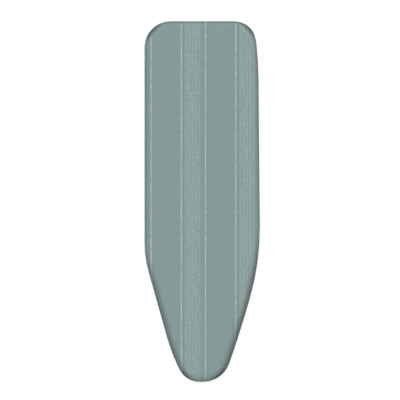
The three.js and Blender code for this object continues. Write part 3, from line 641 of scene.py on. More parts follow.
def cross(a, b):
    """The cross product of flat vectors."""
    return a[..., 0] * b[..., 1] - a[..., 1] * b[..., 0]


def run_of(path):
    """The distance along a path at each of its points."""
    return np.concatenate([[0.0], np.cumsum(np.linalg.norm(np.diff(path, axis=0), axis=1))])


def spaced(path, places):
    """Points at the given distances along a path."""
    run = run_of(path)
    return np.stack([np.interp(places, run, column) for column in path.T], axis=1)


def smoothed(path, step):
    """Even points along a path whose corners are rounded off."""
    path = np.asarray(path, float)
    total = run_of(path)[-1]
    even = spaced(path, np.linspace(0.0, total, max(2, int(round(total / step)) + 1)))
    for _ in range(3):
        even[1:-1] = 0.25 * even[:-2] + 0.5 * even[1:-1] + 0.25 * even[2:]
    return even


def softened(values, step, width, reach):
    """Values at even steps round a loop, each evened out over a width with its neighbours in reach."""
    shifts = np.arange(-reach, reach + 1)
    weights = np.exp(-0.5 * (shifts * step / width) ** 2)
    return sum(w * np.roll(values, s, axis=0) for s, w in zip(shifts, weights / weights.sum()))


def neighbour_spans(loop):
    """The step from the point before to the point after, at each point of a loop."""
    return np.roll(loop, -1, axis=0) - np.roll(loop, 1, axis=0)


def middle_of(node):
    """The middle of a node's box."""
    low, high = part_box(node)
    return (low + high) / 2


def loop_around(node, step, softening=6 * MM):
    """Even points round a node's outline seen from above, counter-clockwise from the tail's middle."""
    flat = [vertex.co.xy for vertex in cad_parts[node].data.vertices]
    hull = np.array([flat[i] for i in geometry.convex_hull_2d(flat)])
    if cross(hull, np.roll(hull, -1, axis=0)).sum() < 0:
        hull = hull[::-1]
    closed = np.vstack([hull, hull[:1]])
    total = run_of(closed)[-1]
    loop = spaced(closed, np.linspace(0.0, total, int(round(total / step)), endpoint=False))
    loop = softened(loop, step, softening, int(3 * softening / step))
    start = np.argmin(np.abs(loop[:, 0]) + (loop[:, 1] < 0))
    return np.roll(loop, -start, axis=0)


def inward_of(loop):
    """The inward direction at each point of a counter-clockwise loop."""
    along = neighbour_spans(loop)
    along /= np.linalg.norm(along, axis=1)[:, None]
    return np.stack([-along[:, 1], along[:, 0]], axis=1)


def distance_to(loop, points, directions):
    """How far each point is from a closed loop along its direction."""
    edges = np.roll(loop, -1, axis=0) - loop
    apart = loop[None] - points[:, None]
    turned = cross(directions[:, None], edges[None])
    turned = np.where(np.abs(turned) < 1e-12, 1e-12, turned)
    far = cross(apart, edges[None]) / turned
    along = cross(apart, directions[:, None]) / turned
    hit = (along >= -1e-9) & (along <= 1 + 1e-9) & (far > 0)
    return np.where(hit, far, np.inf).min(axis=1)


class Rim:
    """The cover's outline as columns that run from the top's edge over the rim and under to the hem."""

    def __init__(self, cloth, step):
        self.edge = loop_around("cover_cloth", step)
        self.number = len(self.edge)
        self.inward = inward_of(self.edge)
        self.to_casing = distance_to(loop_around("hem_casing", step), self.edge, self.inward)

        from_left, from_nose = self.inward.T
        on_left = smooth_step(from_left, 0.5, 0.95)
        in_front = smooth_step(self.edge[:, 1] / cad_low.y - 0.08 * on_left, 0.16, 0.44)
        nose_corners = hump(from_nose, 0.45, 0.65, 0.85, 1.0)
        tail_corners = hump(-from_nose, 0.1, 0.5, 0.8, 1.0)

        front = between(cloth.taper_spread, cloth.nose_spread, smooth_step(from_nose, 0.35, 0.95))
        behind = between(cloth.rim_spread, cloth.left_spread, on_left)
        behind = between(behind, cloth.tail_spread, smooth_step(-from_nose, 0.4, 1.0))
        behind = between(behind, cloth.corner_spread, tail_corners)
        self.spread = between(behind, front, in_front)

        # Painted shade at each column: full over the tapers, stronger at the nose's corners, slight at its
        # tip, and some at the tail, its corners and the left side
        front = 1 - 0.8 * smooth_step(from_nose, 0.8, 1.0) + 0.4 * nose_corners - 0.12 * on_left
        behind = 0.85 * smooth_step(-from_nose, 0.1, 0.6) + 0.6 * tail_corners + 0.3 * on_left
        self.shade = cloth.painted_rim_shade * between(behind, front, in_front)

    def inset_by(self, distance):
        """The outline moved inwards by a number, or by one value for each column."""
        return self.edge + self.inward * np.broadcast_to(distance, self.number)[:, None]

    def ring(self, inset, height):
        """Points of one ring at an inset and a height, each a number or one value for each column."""
        return np.column_stack([self.inset_by(inset), np.broadcast_to(height, self.number)])

    def pulled_in(self):
        """How much wider the flat cloth is than the hem at each column, evened out along the hem."""
        lines = (self.inset_by(self.to_casing), self.inset_by(-self.to_casing))
        drawn, flat = (np.linalg.norm(neighbour_spans(line), axis=1) for line in lines)
        ratio = np.clip(flat / np.maximum(drawn, 1e-6), 1.0, 4.0)
        return softened(ratio, 1, 7, 16)


# Meshes


def linked(name, data):
    """An object at the origin, put into the scene."""
    made = bpy.data.objects.new(name, data)
    bpy.context.scene.collection.objects.link(made)
    return made


def new_piece(name, points, faces, material):
    """A mesh object at the origin with its place in its points."""
    mesh = bpy.data.meshes.new(name)
    mesh.from_pydata(np.asarray(points, float).tolist(), [], [tuple(map(int, f)) for f in faces])
    mesh.validate()
    mesh.shade_smooth()
    mesh.materials.append(material)
    return linked(name, mesh)


def points_of(mesh):
    """The places of a mesh's vertices, one row each."""
    places = np.zeros(len(mesh.vertices) * 3, np.float32)
    mesh.vertices.foreach_get("co", places)
    return places.reshape(-1, 3)


def give_uv(piece, name, flat):
    """A UV map with one pair of numbers for each vertex."""
    layer = piece.data.uv_layers.new(name=name)
    corner_vertex = np.zeros(len(piece.data.loops), np.int32)
    piece.data.loops.foreach_get("vertex_index", corner_vertex)
    layer.data.foreach_set("uv", np.asarray(flat, np.float32)[corner_vertex].ravel())


def give_values(piece, name, values):
    """An attribute with one number for each vertex."""
    attribute = piece.data.attributes.new(name, "FLOAT", "POINT")
    attribute.data.foreach_set("value", np.asarray(values, np.float32).ravel())


def strip_faces(rings, size, closed_along=False):
    """Four-sided faces between closed rings of equal size."""
    faces = []
    for ring in range(rings if closed_along else rings - 1):
        here = ring * size
        there = (ring + 1) % rings * size
        for i in range(size):
            after = (i + 1) % size
            faces.append((here + i, there + i, there + after, here + after))
    return faces


def capped_faces(rings, size):
    """Faces of a closed skin: strips between rings of equal size and a cap at each end."""
    last = (rings - 1) * size
    caps = [tuple(range(size)), tuple(range(last + size - 1, last - 1, -1))]
    return strip_faces(rings, size) + caps


def finished(piece, material):
    """Turns a piece with its modifiers into a plain mesh of one material."""
    graph = bpy.context.evaluated_depsgraph_get()
    graph.update()
    mesh = bpy.data.meshes.new_from_object(piece.evaluated_get(graph))
    piece.modifiers.clear()
    old = piece.data
    piece.data = mesh
    bpy.data.meshes.remove(old)
    mesh.materials.clear()
    mesh.materials.append(material)
    mesh.polygons.foreach_set("material_index", np.zeros(len(mesh.polygons), np.int32))
    return piece


def settle(piece, body, node=None):
    """Makes a piece ride on its body and stand in for its node, which it hides."""
    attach(piece, body)
    if node:
        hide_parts(node)
    return piece


# Geometry node trees


def new_tree(name, *sizes):
    """A geometry tree that takes lines of points, named sizes and a finish, with the lines as curves."""
    tree = bpy.data.node_groups.new(name, "GeometryNodeTree")
    inputs = [("Geometry", "Geometry"), *((size, "Float") for size in sizes), ("Finish", "Material")]
    for socket, kind in inputs:
        tree.interface.new_socket(socket, in_out="INPUT", socket_type=f"NodeSocket{kind}")
    tree.interface.new_socket("Geometry", in_out="OUTPUT", socket_type="NodeSocketGeometry")
    graph = Graph(tree)
    given = graph.node("NodeGroupInput").outputs
    curve = graph.node("GeometryNodeMeshToCurve", {0: given["Geometry"]}).outputs[0]
    return tree, graph, given, curve


def end_tree(graph, shape, finish):
    """Realizes instances, sets the finish and hands the geometry on."""
    real = graph.node("GeometryNodeRealizeInstances", {0: shape}).outputs[0]
    smooth = graph.node("GeometryNodeSetShadeSmooth", {0: real}).outputs[0]
    painted = graph.node("GeometryNodeSetMaterial", {"Geometry": smooth, "Material": finish}).outputs[0]
    graph.node("NodeGroupOutput", {0: painted})


def stitch_tree():
    """Stitches of thread laid end to end along a line, each a little askew."""
    sizes = ("Stitch Length", "Stitch Gap", "Thread Radius", "Askew")
    tree, graph, given, curve = new_tree("stitches", *sizes)
    pitch = graph.math("ADD", given["Stitch Length"], given["Stitch Gap"])
    even = graph.node("GeometryNodeResampleCurve", {"Curve": curve, "Length": pitch}, mode="LENGTH")
    points = graph.node("GeometryNodeCurveToPoints", {0: even.outputs[0]}, mode="EVALUATED").outputs
    half = graph.times(given["Stitch Length"], 0.5)
    scale = graph.join(given["Thread Radius"], given["Thread Radius"], half)
    ball = graph.node("GeometryNodeMeshUVSphere", {"Segments": 6, "Rings": 5, "Radius": 1.0}).outputs[0]
    stitch = graph.node("GeometryNodeTransform", {"Geometry": ball, "Scale": scale}).outputs[0]
    back = graph.times(given["Askew"], -1.0)
    limits = {i: graph.join(side, side, side) for i, side in enumerate((back, given["Askew"]))}
    tilt = graph.node("FunctionNodeRandomValue", {"Seed": 11, **limits}, data_type="FLOAT_VECTOR")
    ways = {0: points["Tangent"], 1: tilt.outputs[0]}
    direction = graph.node("ShaderNodeVectorMath", ways, operation="ADD").outputs[0]
    aligned = graph.node("FunctionNodeAlignRotationToVector", {"Vector": direction}, axis="Z").outputs[0]
    laid = {"Points": points["Points"], "Instance": stitch, "Rotation": aligned}
    end_tree(graph, graph.node("GeometryNodeInstanceOnPoints", laid).outputs[0], given["Finish"])
    return tree


def wire_tree():
    """Round wire along a line."""
    tree, graph, given, curve = new_tree("wire", "Radius")
    circle = {"Resolution": 12, "Radius": given["Radius"]}
    ring = graph.node("GeometryNodeCurvePrimitiveCircle", circle).outputs[0]
    swept = {0: curve, "Profile Curve": ring, "Fill Caps": True}
    end_tree(graph, graph.node("GeometryNodeCurveToMesh", swept).outputs[0], given["Finish"])
    return tree


def groove_tree():
    """A row of like bars, side by side along a line, for cutting grip grooves."""
    sizes = ("Bar Width", "Bar Depth", "Bar Length", "Pitch")
    tree, graph, given, curve = new_tree("grip_grooves", *sizes)
    pitched = {"Curve": curve, "Length": given["Pitch"]}
    even = graph.node("GeometryNodeResampleCurve", pitched, mode="LENGTH").outputs[0]
    size = graph.join(given["Bar Width"], given["Bar Length"], given["Bar Depth"])
    bar = graph.node("GeometryNodeMeshCube", {"Size": size}).outputs[0]
    laid = graph.node("GeometryNodeInstanceOnPoints", {"Points": even, "Instance": bar}).outputs[0]
    end_tree(graph, laid, given["Finish"])
    return tree


def follow(name, tree, lines, material, **sizes):
    """A piece that a tree makes along one or more lines of points."""
    points = [tuple(map(float, point)) for line in lines for point in line]
    ends = np.cumsum([0, *map(len, lines)])
    edges = [(i, i + 1) for first, end in zip(ends, ends[1:]) for i in range(first, end - 1)]
    mesh = bpy.data.meshes.new(name)
    mesh.from_pydata(points, edges, [])
    piece = linked(name, mesh)
    modifier = piece.modifiers.new(tree.name, "NODES")
    modifier.node_group = tree
    values = {key.replace("_", " ").title(): value for key, value in sizes.items()}
    values["Finish"] = material
    for item in tree.interface.items_tree:
        if item.in_out == "INPUT" and item.name in values:
            modifier[item.identifier] = values[item.name]
    return finished(piece, material)


class Workshop:
    """Materials and trees that several pieces share, made when they are first asked for."""

    made = {}

    @classmethod
    def get(cls, name, make, *settings):
        if name not in cls.made:
            cls.made[name] = make(*settings)
        return cls.made[name]


def stitches(name, hem, lines, thread):
    """Rows of stitches as a piece of its own."""
    sizes = {key: getattr(hem, key) for key in ("stitch_length", "stitch_gap", "thread_radius")}
    return follow(name, Workshop.get("stitches", stitch_tree), lines, thread, askew=0.12, **sizes)


# The cloth


def even_top(boundary, inner, step):
    """Points inside a loop on a staggered grid, after those of a boundary round it."""
    low, high = inner.min(axis=0), inner.max(axis=0)
    rows = np.arange(low[1] + step / 2, high[1], step * math.sqrt(3) / 2)
    spots = []
    for k, y in enumerate(rows):
        across = np.arange(low[0] + step * (0.25 if k % 2 else 0.75), high[0], step)
        spots.append(np.column_stack([across, np.full(len(across), y)]))
    spots = np.vstack(spots)
    after = np.roll(inner, -1, axis=0)
    spans = (inner[None, :, 1] > spots[:, None, 1]) != (after[None, :, 1] > spots[:, None, 1])
    rise = np.where(after[:, 1] == inner[:, 1], 1e-12, after[:, 1] - inner[:, 1])
    crossing = inner[:, 0] + (spots[:, None, 1] - inner[:, 1]) / rise * (after[:, 0] - inner[:, 0])
    inside = (spans & (spots[:, None, 0] < crossing)).sum(axis=1) % 2 == 1
    return np.vstack([boundary, spots[inside]])


def uneven(flat, size):
    """Soft unevenness between -1 and 1, from a few crossing swells of different lengths."""
    swells = ((1.0, 0.35, 0.4), (-0.55, 1.0, 1.7), (0.3, -0.85, 3.1), (0.9, 0.75, 4.4))
    total = sum(np.sin((a * flat[:, 0] + b * flat[:, 1]) / size + c) for a, b, c in swells)
    return total / len(swells)


def fold_shape(rim, cloth):
    """Depth from 0 to 1 of the gathers at each column, and how deep they go there."""
    hem = rim.inset_by(rim.to_casing)
    run = run_of(np.vstack([hem, hem[:1]]))
    angle = 2 * math.pi * run[:-1] / run[-1]
    drifts = ((0.9, 23, 0.0), (0.7, 41, 1.3), (0.5, 67, 2.1))
    drift = sum(size * np.sin(waves * angle + start) for size, waves, start in drifts)
    folds = round(run[-1] / cloth.fold_pitch)
    main = np.sin(folds * angle + drift)
    second = np.sin(round(0.62 * folds) * angle - 1.4 * drift + 0.8)
    shape = 0.5 + 0.34 * main + 0.16 * second
    pull = np.sqrt(np.maximum(rim.pulled_in() - 1.0, 0.0))
    depth = cloth.fold_depth * np.clip(0.16 + 0.62 * pull, 0.0, 1.0)
    flat_near = np.ones(rim.number)
    for k in STRAPS:
        from_strap = np.abs(hem[:, 1] - middle_of(f"strap_{k}_webbing").y)
        flat_near *= smooth_step(from_strap, *STRAP_CLEARANCE)
    from_label = np.abs(hem[:, 1] - middle_of("care_label").y)
    near_label = smooth_step(from_label, *LABEL_CLEARANCE)
    flat_near *= np.where(hem[:, 0] < 0, near_label, 1.0)
    return shape, depth * flat_near


def cloth_profile(rim, cloth):
    """Insets, heights and runs of cloth of the rings from the top's edge to where the flange starts."""
    over = np.linspace(0.0, math.pi / 2, ROUNDING_RINGS)
    under = np.linspace(0.0, math.pi / 2, TUCK_RINGS)
    tuck_top = cloth.flange_height + cloth.rim_tuck
    wall = np.linspace(cad_high.z - cloth.rim_drop, tuck_top, WALL_RINGS + 2)[1:-1]
    rounding = cad_high.z - cloth.rim_drop * (1 - np.cos(over))
    heights = np.concatenate([rounding, wall, tuck_top - cloth.rim_tuck * np.sin(under)])
    insets = np.zeros((len(heights), rim.number))
    insets[:ROUNDING_RINGS] = (1 - np.sin(over))[:, None] * rim.spread
    insets[-TUCK_RINGS:] = cloth.rim_tuck * (1 - np.cos(under))[:, None]
    steps = np.hypot(np.diff(insets, axis=0), np.diff(heights)[:, None])
    runs = np.vstack([np.zeros(rim.number), np.cumsum(steps, axis=0)])
    return insets, heights, runs


def cloth_rings(rim, cloth):
    """Rings of the cloth's outer face and their places on the flat cloth."""
    insets, heights, runs = cloth_profile(rim, cloth)
    shape, depth = fold_shape(rim, cloth)
    tuck_top = cloth.flange_height + cloth.rim_tuck
    rings = []
    flats = []
    for inset, height, run in zip(insets, heights, runs):
        under = smooth_step(tuck_top - height, 0.2 * cloth.rim_tuck, cloth.rim_tuck)
        rings.append(rim.ring(inset, height - FOLD_AT_RIM * depth * shape * under))
        flats.append(rim.inset_by(rim.spread - run))
    overlap, lift, lowest = 0.4 * MM, 0.9 * MM, 1.6 * MM
    hem_height = middle_of("hem_casing").z + lift
    flange = rim.to_casing + overlap - cloth.rim_tuck
    for part in np.linspace(0.0, 1.0, FLANGE_RINGS + 1)[1:]:
        swell = between(FOLD_AT_RIM, 1.0, math.sin(math.pi * min(1.0, part * 1.08)) ** 0.8)
        height = between(cloth.flange_height, hem_height, part) - depth * shape * swell
        rings.append(rim.ring(cloth.rim_tuck + flange * part, np.maximum(height, lowest)))
        flats.append(rim.inset_by(rim.spread - runs[-1] - flange * part))
    return rings, flats


def cloth_mesh(rim, cloth, material):
    """The cloth's outer face: a fine top joined to the rings that go over the rim and under to the hem."""
    rings, flats = cloth_rings(rim, cloth)
    inner = rim.inset_by(rim.spread + 0.6 * cloth.top_step)
    spots = even_top(rings[0][:, :2], inner, cloth.top_step)
    outline = [list(range(rim.number))]
    meshed = geometry.delaunay_2d_cdt([Vector(p) for p in spots], [], outline, 1, 1e-7)
    flat, _, triangles, origins, _, _ = meshed
    flat = np.array(flat)
    index = np.array([min(origin, default=-1) for origin in origins])
    free = np.flatnonzero((index < 0) | (index >= rim.number))
    index[free] = rim.number * len(rings) + np.arange(len(free))
    relief = cloth.top_relief * uneven(flat[free], 24 * MM)
    dents = np.maximum(0.0, relief + 0.3 * cloth.top_relief)
    points = np.vstack([*rings, np.column_stack([flat[free], cad_high.z - dents])])
    faces = [tuple(index[list(t)]) for t in triangles] + strip_faces(len(rings), rim.number)
    piece = new_piece("cover_cloth_striped", points, faces, material)
    give_uv(piece, "flat_cloth", np.vstack([*flats, flat[free]]))

    # Painted shade over the rim: none on the top, rising as the rounding turns down, full down the wall,
    # fading out where the cloth tucks under the board
    height = points[:, 2]
    over = smooth_step(cad_high.z - height, 0.07 * cloth.rim_drop, 0.4 * cloth.rim_drop)
    over *= smooth_step(height, cloth.flange_height, cloth.flange_height + cloth.rim_tuck)
    shade = np.concatenate([np.tile(rim.shade, len(rings)), np.zeros(len(free))])
    give_values(piece, "painted_rim_shade", over * shade)
    return piece, len(rings)


def relax_hem(piece, rim, rings, cloth):
    """Lets the gathers under the board settle as cloth, held at the rim and at the hem."""
    rest = points_of(piece.data)
    loose = np.zeros(len(rest), bool)
    loose[(rings - FLANGE_RINGS) * rim.number : (rings - 1) * rim.number] = True
    pins = piece.vertex_groups.new(name="held")
    pins.add(np.flatnonzero(~loose).tolist(), 1.0, "REPLACE")
    modifier = piece.modifiers.new("gathers", "CLOTH")
    modifier.settings.vertex_group_mass = "held"
    for name, value in CLOTH_HAND.items():
        setattr(modifier.settings, name, value)
    modifier.settings.effector_weights.gravity = SETTLING_GRAVITY
    modifier.collision_settings.use_collision = False
    modifier.collision_settings.use_self_collision = False
    modifier.point_cache.frame_start = 1
    modifier.point_cache.frame_end = SETTLING_FRAMES
    scene = bpy.context.scene
    for step in range(1, SETTLING_FRAMES + 1):
        scene.frame_set(step)
    finished(piece, piece.data.materials[0])
    piece.vertex_groups.clear()
    scene.frame_set(1)
    way = points_of(piece.data) - rest
    far = np.linalg.norm(way, axis=1, keepdims=True)
    moved = rest + way * np.minimum(1.0, SETTLING_REACH / np.maximum(far, 1e-9))
    moved[loose, 2] = np.clip(moved[loose, 2], SETTLING_FLOOR, cloth.flange_height)
    piece.data.vertices.foreach_set("co", moved.astype(np.float32).ravel())
    piece.data.update()


class BOARD_COVER_OT_cloth(Operator):
    """Make the striped cloth over the top, round the rim and under to the hem"""

    bl_idname = "board_cover.cloth"
    bl_label = "Striped Cloth"

    def execute(self, context):
        cloth = context.scene.board_cover.cloth
        rim = Rim(cloth, cloth.column_step)
        material = striped_cloth_material(cloth)
        piece, rings = cloth_mesh(rim, cloth, material)
        relax_hem(piece, rim, rings, cloth)
        wall = piece.modifiers.new("thickness", "SOLIDIFY")
        wall.thickness = cloth.thickness
        wall.offset = -1.0
        finished(piece, material)
        settle(piece, "cover", "cover_cloth")
        _, _, runs = cloth_profile(rim, cloth)
        return {"FINISHED"}


# Foam and felt


def layer_mesh(name, rim, outside, inside, material):
    """A closed layer between an outer and an inner row of insets and heights."""
    rings = [rim.ring(inset, height) for inset, height in (*outside, *reversed(inside))]
    return new_piece(name, np.vstack(rings), capped_faces(len(rings), rim.number), material)


def rounded_rows(rim, cloth, offset, steps=9, stop=0.0):
    """Insets and heights of the rim's rounding, moved inwards by an offset, from the top down."""
    rows = []
    for angle in np.linspace(0.0, math.pi / 2, steps):
        inset = rim.spread - (rim.spread - offset) * math.sin(angle)
        height = cad_high.z - cloth.rim_drop + (cloth.rim_drop - offset) * math.cos(angle)
        if height >= stop - 1e-9:
            rows.append((inset, height))
    return rows


class BOARD_COVER_OT_padding(Operator):
    """Make the foam pad and the felt underlay beneath the cloth"""

    bl_idname = "board_cover.padding"
    bl_label = "Foam and Felt"

    def execute(self, context):
        settings = context.scene.board_cover
        cloth, padding = settings.cloth, settings.padding
        rim = Rim(cloth, 2 * cloth.column_step)
        outer = cloth.thickness + padding.layer_gap + cloth.top_relief
        inner = cloth.thickness + padding.layer_gap + padding.foam_thickness
        skirt_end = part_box("foam_pad")[0].z
        outside = [*rounded_rows(rim, cloth, outer), (outer, skirt_end)]
        inside = [*rounded_rows(rim, cloth, inner), (inner, skirt_end)]
        foam = layer_mesh("foam_pad_skirted", rim, outside, inside, foam_material(padding))
        settle(foam, "cover", "foam_pad")

        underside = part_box("felt_underlay")[0].z
        upper = rounded_rows(rim, cloth, inner + padding.layer_gap, steps=13, stop=underside)
        edge = upper[-1][0]
        cut_edge, soft_edge = 0.3 * MM, 1.5 * MM
        lower = [(edge + soft_edge, underside), (edge + cut_edge, underside + cut_edge)]
        felt = layer_mesh("felt_underlay_needled", rim, upper, lower, felt_material(padding))
        settle(felt, "cover", "felt_underlay")
        return {"FINISHED"}


# Hem, drawcord and label


def sideways(path):
    """The level direction to the right of a path at each of its points."""
    side = np.cross(np.gradient(path, axis=0), (0.0, 0.0, 1.0))
    return side / np.linalg.norm(side, axis=1)[:, None]


def ring_angles(sides):
    """Even angles round a ring, from its right side."""
    return 2 * math.pi * np.arange(sides) / sides


def tube_points(path, radii):
    """Rings of a tube along a level path, with one radius for each ring and side, from the right round."""
    angles = ring_angles(radii.shape[1])
    across = sideways(path)[:, None] * np.cos(angles)[None, :, None]
    upward = np.array([0.0, 0.0, 1.0]) * np.sin(angles)[None, :, None]
    return path[:, None] + (across + upward) * radii[:, :, None]


def casing_radius():
    """The radius of the hem's tunnel over all."""
    low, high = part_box("hem_casing")
    return (high.z - low.z) / 2


def hem_path(hem, step):
    """The middle of the hem's tunnel, from one side of its gap at the tail round to the other."""
    loop = loop_around("hem_casing", step)
    loop = loop + inward_of(loop) * casing_radius()
    beside_gap = (np.abs(loop[:, 0]) >= hem.gap / 2) | (loop[:, 1] <= 0)
    ends = [[side * hem.gap / 2, loop[:, 1].max()] for side in (-1, 1)]
    line = np.vstack([ends[0], loop[beside_gap], ends[1]])
    return np.column_stack([line, np.full(len(line), middle_of("hem_casing").z)])


def casing_piece(hem):
    """The sewn tunnel: a puckered tube with a bore and a seam on its outer side."""
    step = 2 * MM
    sides = 16
    path = hem_path(hem, step)
    number_along = len(path)
    along = np.arange(number_along) * step
    angles = ring_angles(sides)
    phase = along / (1.5 * MM) + 2.2 * np.sin(along / (17 * MM))
    wrinkle = 0.6 * np.sin(phase[:, None] + 0.8 * np.sin(angles)[None])
    wrinkle += 0.4 * np.sin(along / (2.4 * MM) + 1.7 * np.sin(along / (29 * MM)))[:, None]
    radii = casing_radius() - hem.pucker * (0.5 + 0.5 * wrinkle) ** 1.5
    radii = radii + hem.seam * np.maximum(0.0, np.cos(angles))[None] ** 10
    outer = tube_points(path, radii)
    inner = tube_points(path, np.full(radii.shape, hem.bore))
    points = np.vstack([outer, inner[::-1]]).reshape(-1, 3)
    faces = strip_faces(2 * number_along, sides, closed_along=True)
    piece = new_piece("hem_casing_sewn", points, faces, tape_material(hem))
    around = np.tile(np.arange(sides) / sides, 2 * number_along)
    run = np.repeat(np.concatenate([along, along[::-1]]), sides)
    give_uv(piece, "run", np.column_stack([run, around]))
    return settle(piece, "cover", "hem_casing")


def hem_stitch_rows(hem):
    """Two rows of stitches along the seam, one under it and one over it."""
    path = hem_path(hem, 2.6 * MM)
    sunk = 0.05 * MM
    reach = casing_radius() - sunk
    rows = []
    for angle in (-0.62, 0.5):
        lift = np.array([0.0, 0.0, math.sin(angle)])
        rows.append(path + reach * (sideways(path) * math.cos(angle) + lift))
    return rows


class BOARD_COVER_OT_hem(Operator):
    """Make the sewn tunnel round the cloth's edge and its stitches"""

    bl_idname = "board_cover.hem"
    bl_label = "Hem"

    def execute(self, context):
        hem = context.scene.board_cover.hem
        casing_piece(hem)
        thread = thread_material("hem_thread", hem.thread_colour)
        seam = stitches("hem_stitches", hem, hem_stitch_rows(hem), thread)
        settle(seam, "cover")
        return {"FINISHED"}


def cord_route(hem):
    """The cord from its end piece through the lock, round the hem and back."""
    path = hem_path(hem, 5 * MM)
    _, tail_y, height = path[0]
    bend_y = tail_y - hem.cord_bend
    quarter = np.linspace(0.0, math.pi / 2, 16)
    straight = np.linspace(middle_of("cord_end_piece").y, bend_y, 60)[:-1]
    bend_x = hem.cord_bend * (1 - np.cos(quarter))
    x = hem.cord_spacing / 2 + np.concatenate([np.zeros(len(straight)), bend_x])
    y = np.concatenate([straight, bend_y + hem.cord_bend * np.sin(quarter)])
    right = np.column_stack([x, y, np.full(len(x), height)])
    return np.vstack([right * (-1, 1, 1), path[2:-2], right[::-1]])


class BOARD_COVER_OT_drawcord(Operator):
    """Make the braided cord in the hem"""

    bl_idname = "board_cover.drawcord"
    bl_label = "Drawcord"

    def execute(self, context):
        hem = context.scene.board_cover.hem
        route = cord_route(hem)
        total = run_of(route)[-1]
        shown, fine_step, hidden_step = 150 * MM, 0.45 * MM, 5 * MM
        first = np.arange(0.0, shown, fine_step)
        hidden = np.arange(shown, total - shown, hidden_step)
        last = np.arange(total - shown, total, fine_step)
        places = np.concatenate([first, hidden, last, [total]])
        sides = 24
        angles = ring_angles(sides)
        twist = 2 * math.pi * places / hem.braid_pitch
        one_way, other_way = (
            np.cos(hem.braid_strands * (angles[None] + way * twist[:, None])) for way in (1, -1)
        )
        strands = np.maximum(one_way, other_way) * 0.5 + 0.5
        radii = hem.cord_diameter / 2 * (0.9 + 0.1 * strands)
        points = tube_points(spaced(route, places), radii).reshape(-1, 3)
        faces = capped_faces(len(places), sides)
        piece = new_piece("drawcord_braided", points, faces, cord_material(hem))
        around = np.tile(np.arange(sides) / sides, len(places))
        give_uv(piece, "run", np.column_stack([np.repeat(places, sides), around]))
        give_values(piece, "braid", strands)
        settle(piece, "cover", "drawcord")
        return {"FINISHED"}


def band_piece(name, path, node, thickness, material, ribs=0, rib_depth=0.0):
    """A flat band along a path in X and Z, as wide as its node, with round edges and cords along it."""
    low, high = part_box(node)
    width = high.y - low.y
    along = np.gradient(path, axis=0)
    along /= np.linalg.norm(along, axis=1)[:, None]
    part = np.linspace(-1.0, 1.0, 4 * ribs + 1 if ribs else 9)
    dip = rib_depth * (0.5 + 0.5 * np.cos(math.pi * ribs * (part + 1)))
    round_edge = ((np.abs(part) - 0.9) / 0.1).clip(0, 1)
    half = (thickness / 2 - dip) * np.sqrt(np.clip(1 - round_edge**2, 0.06, 1))
    across = np.concatenate([part, part[::-1]])
    upward = np.concatenate([half, -half[::-1]])
    x = path[:, :1] - along[:, 1:] * upward
    z = path[:, 1:] + along[:, :1] * upward
    y = np.broadcast_to((low.y + high.y) / 2 + across * width / 2, x.shape)
    points = np.stack([x, y, z], axis=2).reshape(-1, 3)
    piece = new_piece(name, points, capped_faces(*x.shape), material)
    run = run_of(path)
    flat = [np.tile(across * 0.5 + 0.5, len(path)), np.repeat(run, len(across))]
    give_uv(piece, "run", np.column_stack(flat))
    return piece, width, run[-1]


class BOARD_COVER_OT_label(Operator):
    """Make the blank care label that is sewn into the hem"""

    bl_idname = "board_cover.label"
    bl_label = "Care Label"

    def execute(self, context):
        hem = context.scene.board_cover.hem
        low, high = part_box("care_label")
        half = hem.label_thickness / 2
        top = middle_of("hem_casing").z
        lying_x = between(low.x, high.x, 0.47)
        sewn_in, end_curl = 1.2 * MM, 1.6 * MM
        parts = np.linspace(0.0, 1.0, 24)
        fall = [(between(low.x, lying_x, d), between(top, half, smooth_step(d, 0, 1))) for d in parts]
        curl = [(between(lying_x, high.x, d), half + end_curl * d**3) for d in parts[1:]]
        path = smoothed([(low.x - sewn_in, top), *fall, *curl], 1.2 * MM)
        material = label_material(hem)
        made = band_piece("care_label_blank", path, "care_label", hem.label_thickness, material)
        piece, width, far = made
        settle(piece, "cover", "care_label")
        return {"FINISHED"}


# Straps


def strap_path(k, strap):
    """The strap's middle line in X and Z: sewn on, under the hem, across, round the clip's bar, back."""
    web_low, web_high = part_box(f"strap_{k}_webbing")
    half = strap.thickness / 2
    hem_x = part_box("hem_casing")[0].x + casing_radius()
    height = middle_of("hem_casing").z
    wrap = height - half
    sewn_top = web_high.z - half
    sewn_end = (hem_x - wrap - 2 * strap.thickness, sewn_top - SEWN_END_FALL)
    quarter = np.linspace(math.pi, 1.5 * math.pi, 9)[1:]
    turn_under = [(hem_x + wrap * math.cos(a), height + wrap * math.sin(a)) for a in quarter]
    part = np.linspace(0.0, 1.0, 9)
    lifts = between(half, height, smooth_step(part, 0.0, 1.0))
    rise = list(zip(hem_x + strap.floor_run + strap.rise_run * part, lifts))

    bar_gap, clip_gap = 2.05 * MM, 0.3 * MM
    ease_in, ease_out = 6 * MM, 1 * MM
    clip_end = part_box(f"strap_{k}_clip_body")[0].x - clip_gap
    lap_start = clip_end - 2 * strap.loop_run - strap.lap
    loop_end = clip_end - 1.5 * strap.loop_run
    loop_start = clip_end - 0.5 * strap.loop_run
    turn_x = web_high.x - half - bar_gap
    half_turn = np.linspace(-math.pi / 2, math.pi / 2, 13)
    around = [(turn_x + bar_gap * math.cos(a), height + bar_gap * math.sin(a)) for a in half_turn]
    lap = [(lap_start + ease_out, half), (loop_end, half), (loop_start, bar_gap)]
    out = [(x, height - apart) for x, apart in lap]
    back = [(x, height + apart) for x, apart in reversed(lap)]
    before_lap = (lap_start - ease_in, height)
    path = [(web_low.x, sewn_top), sewn_end, *turn_under, *rise, before_lap, *out, *around, *back]
    return path, lap_start, loop_end


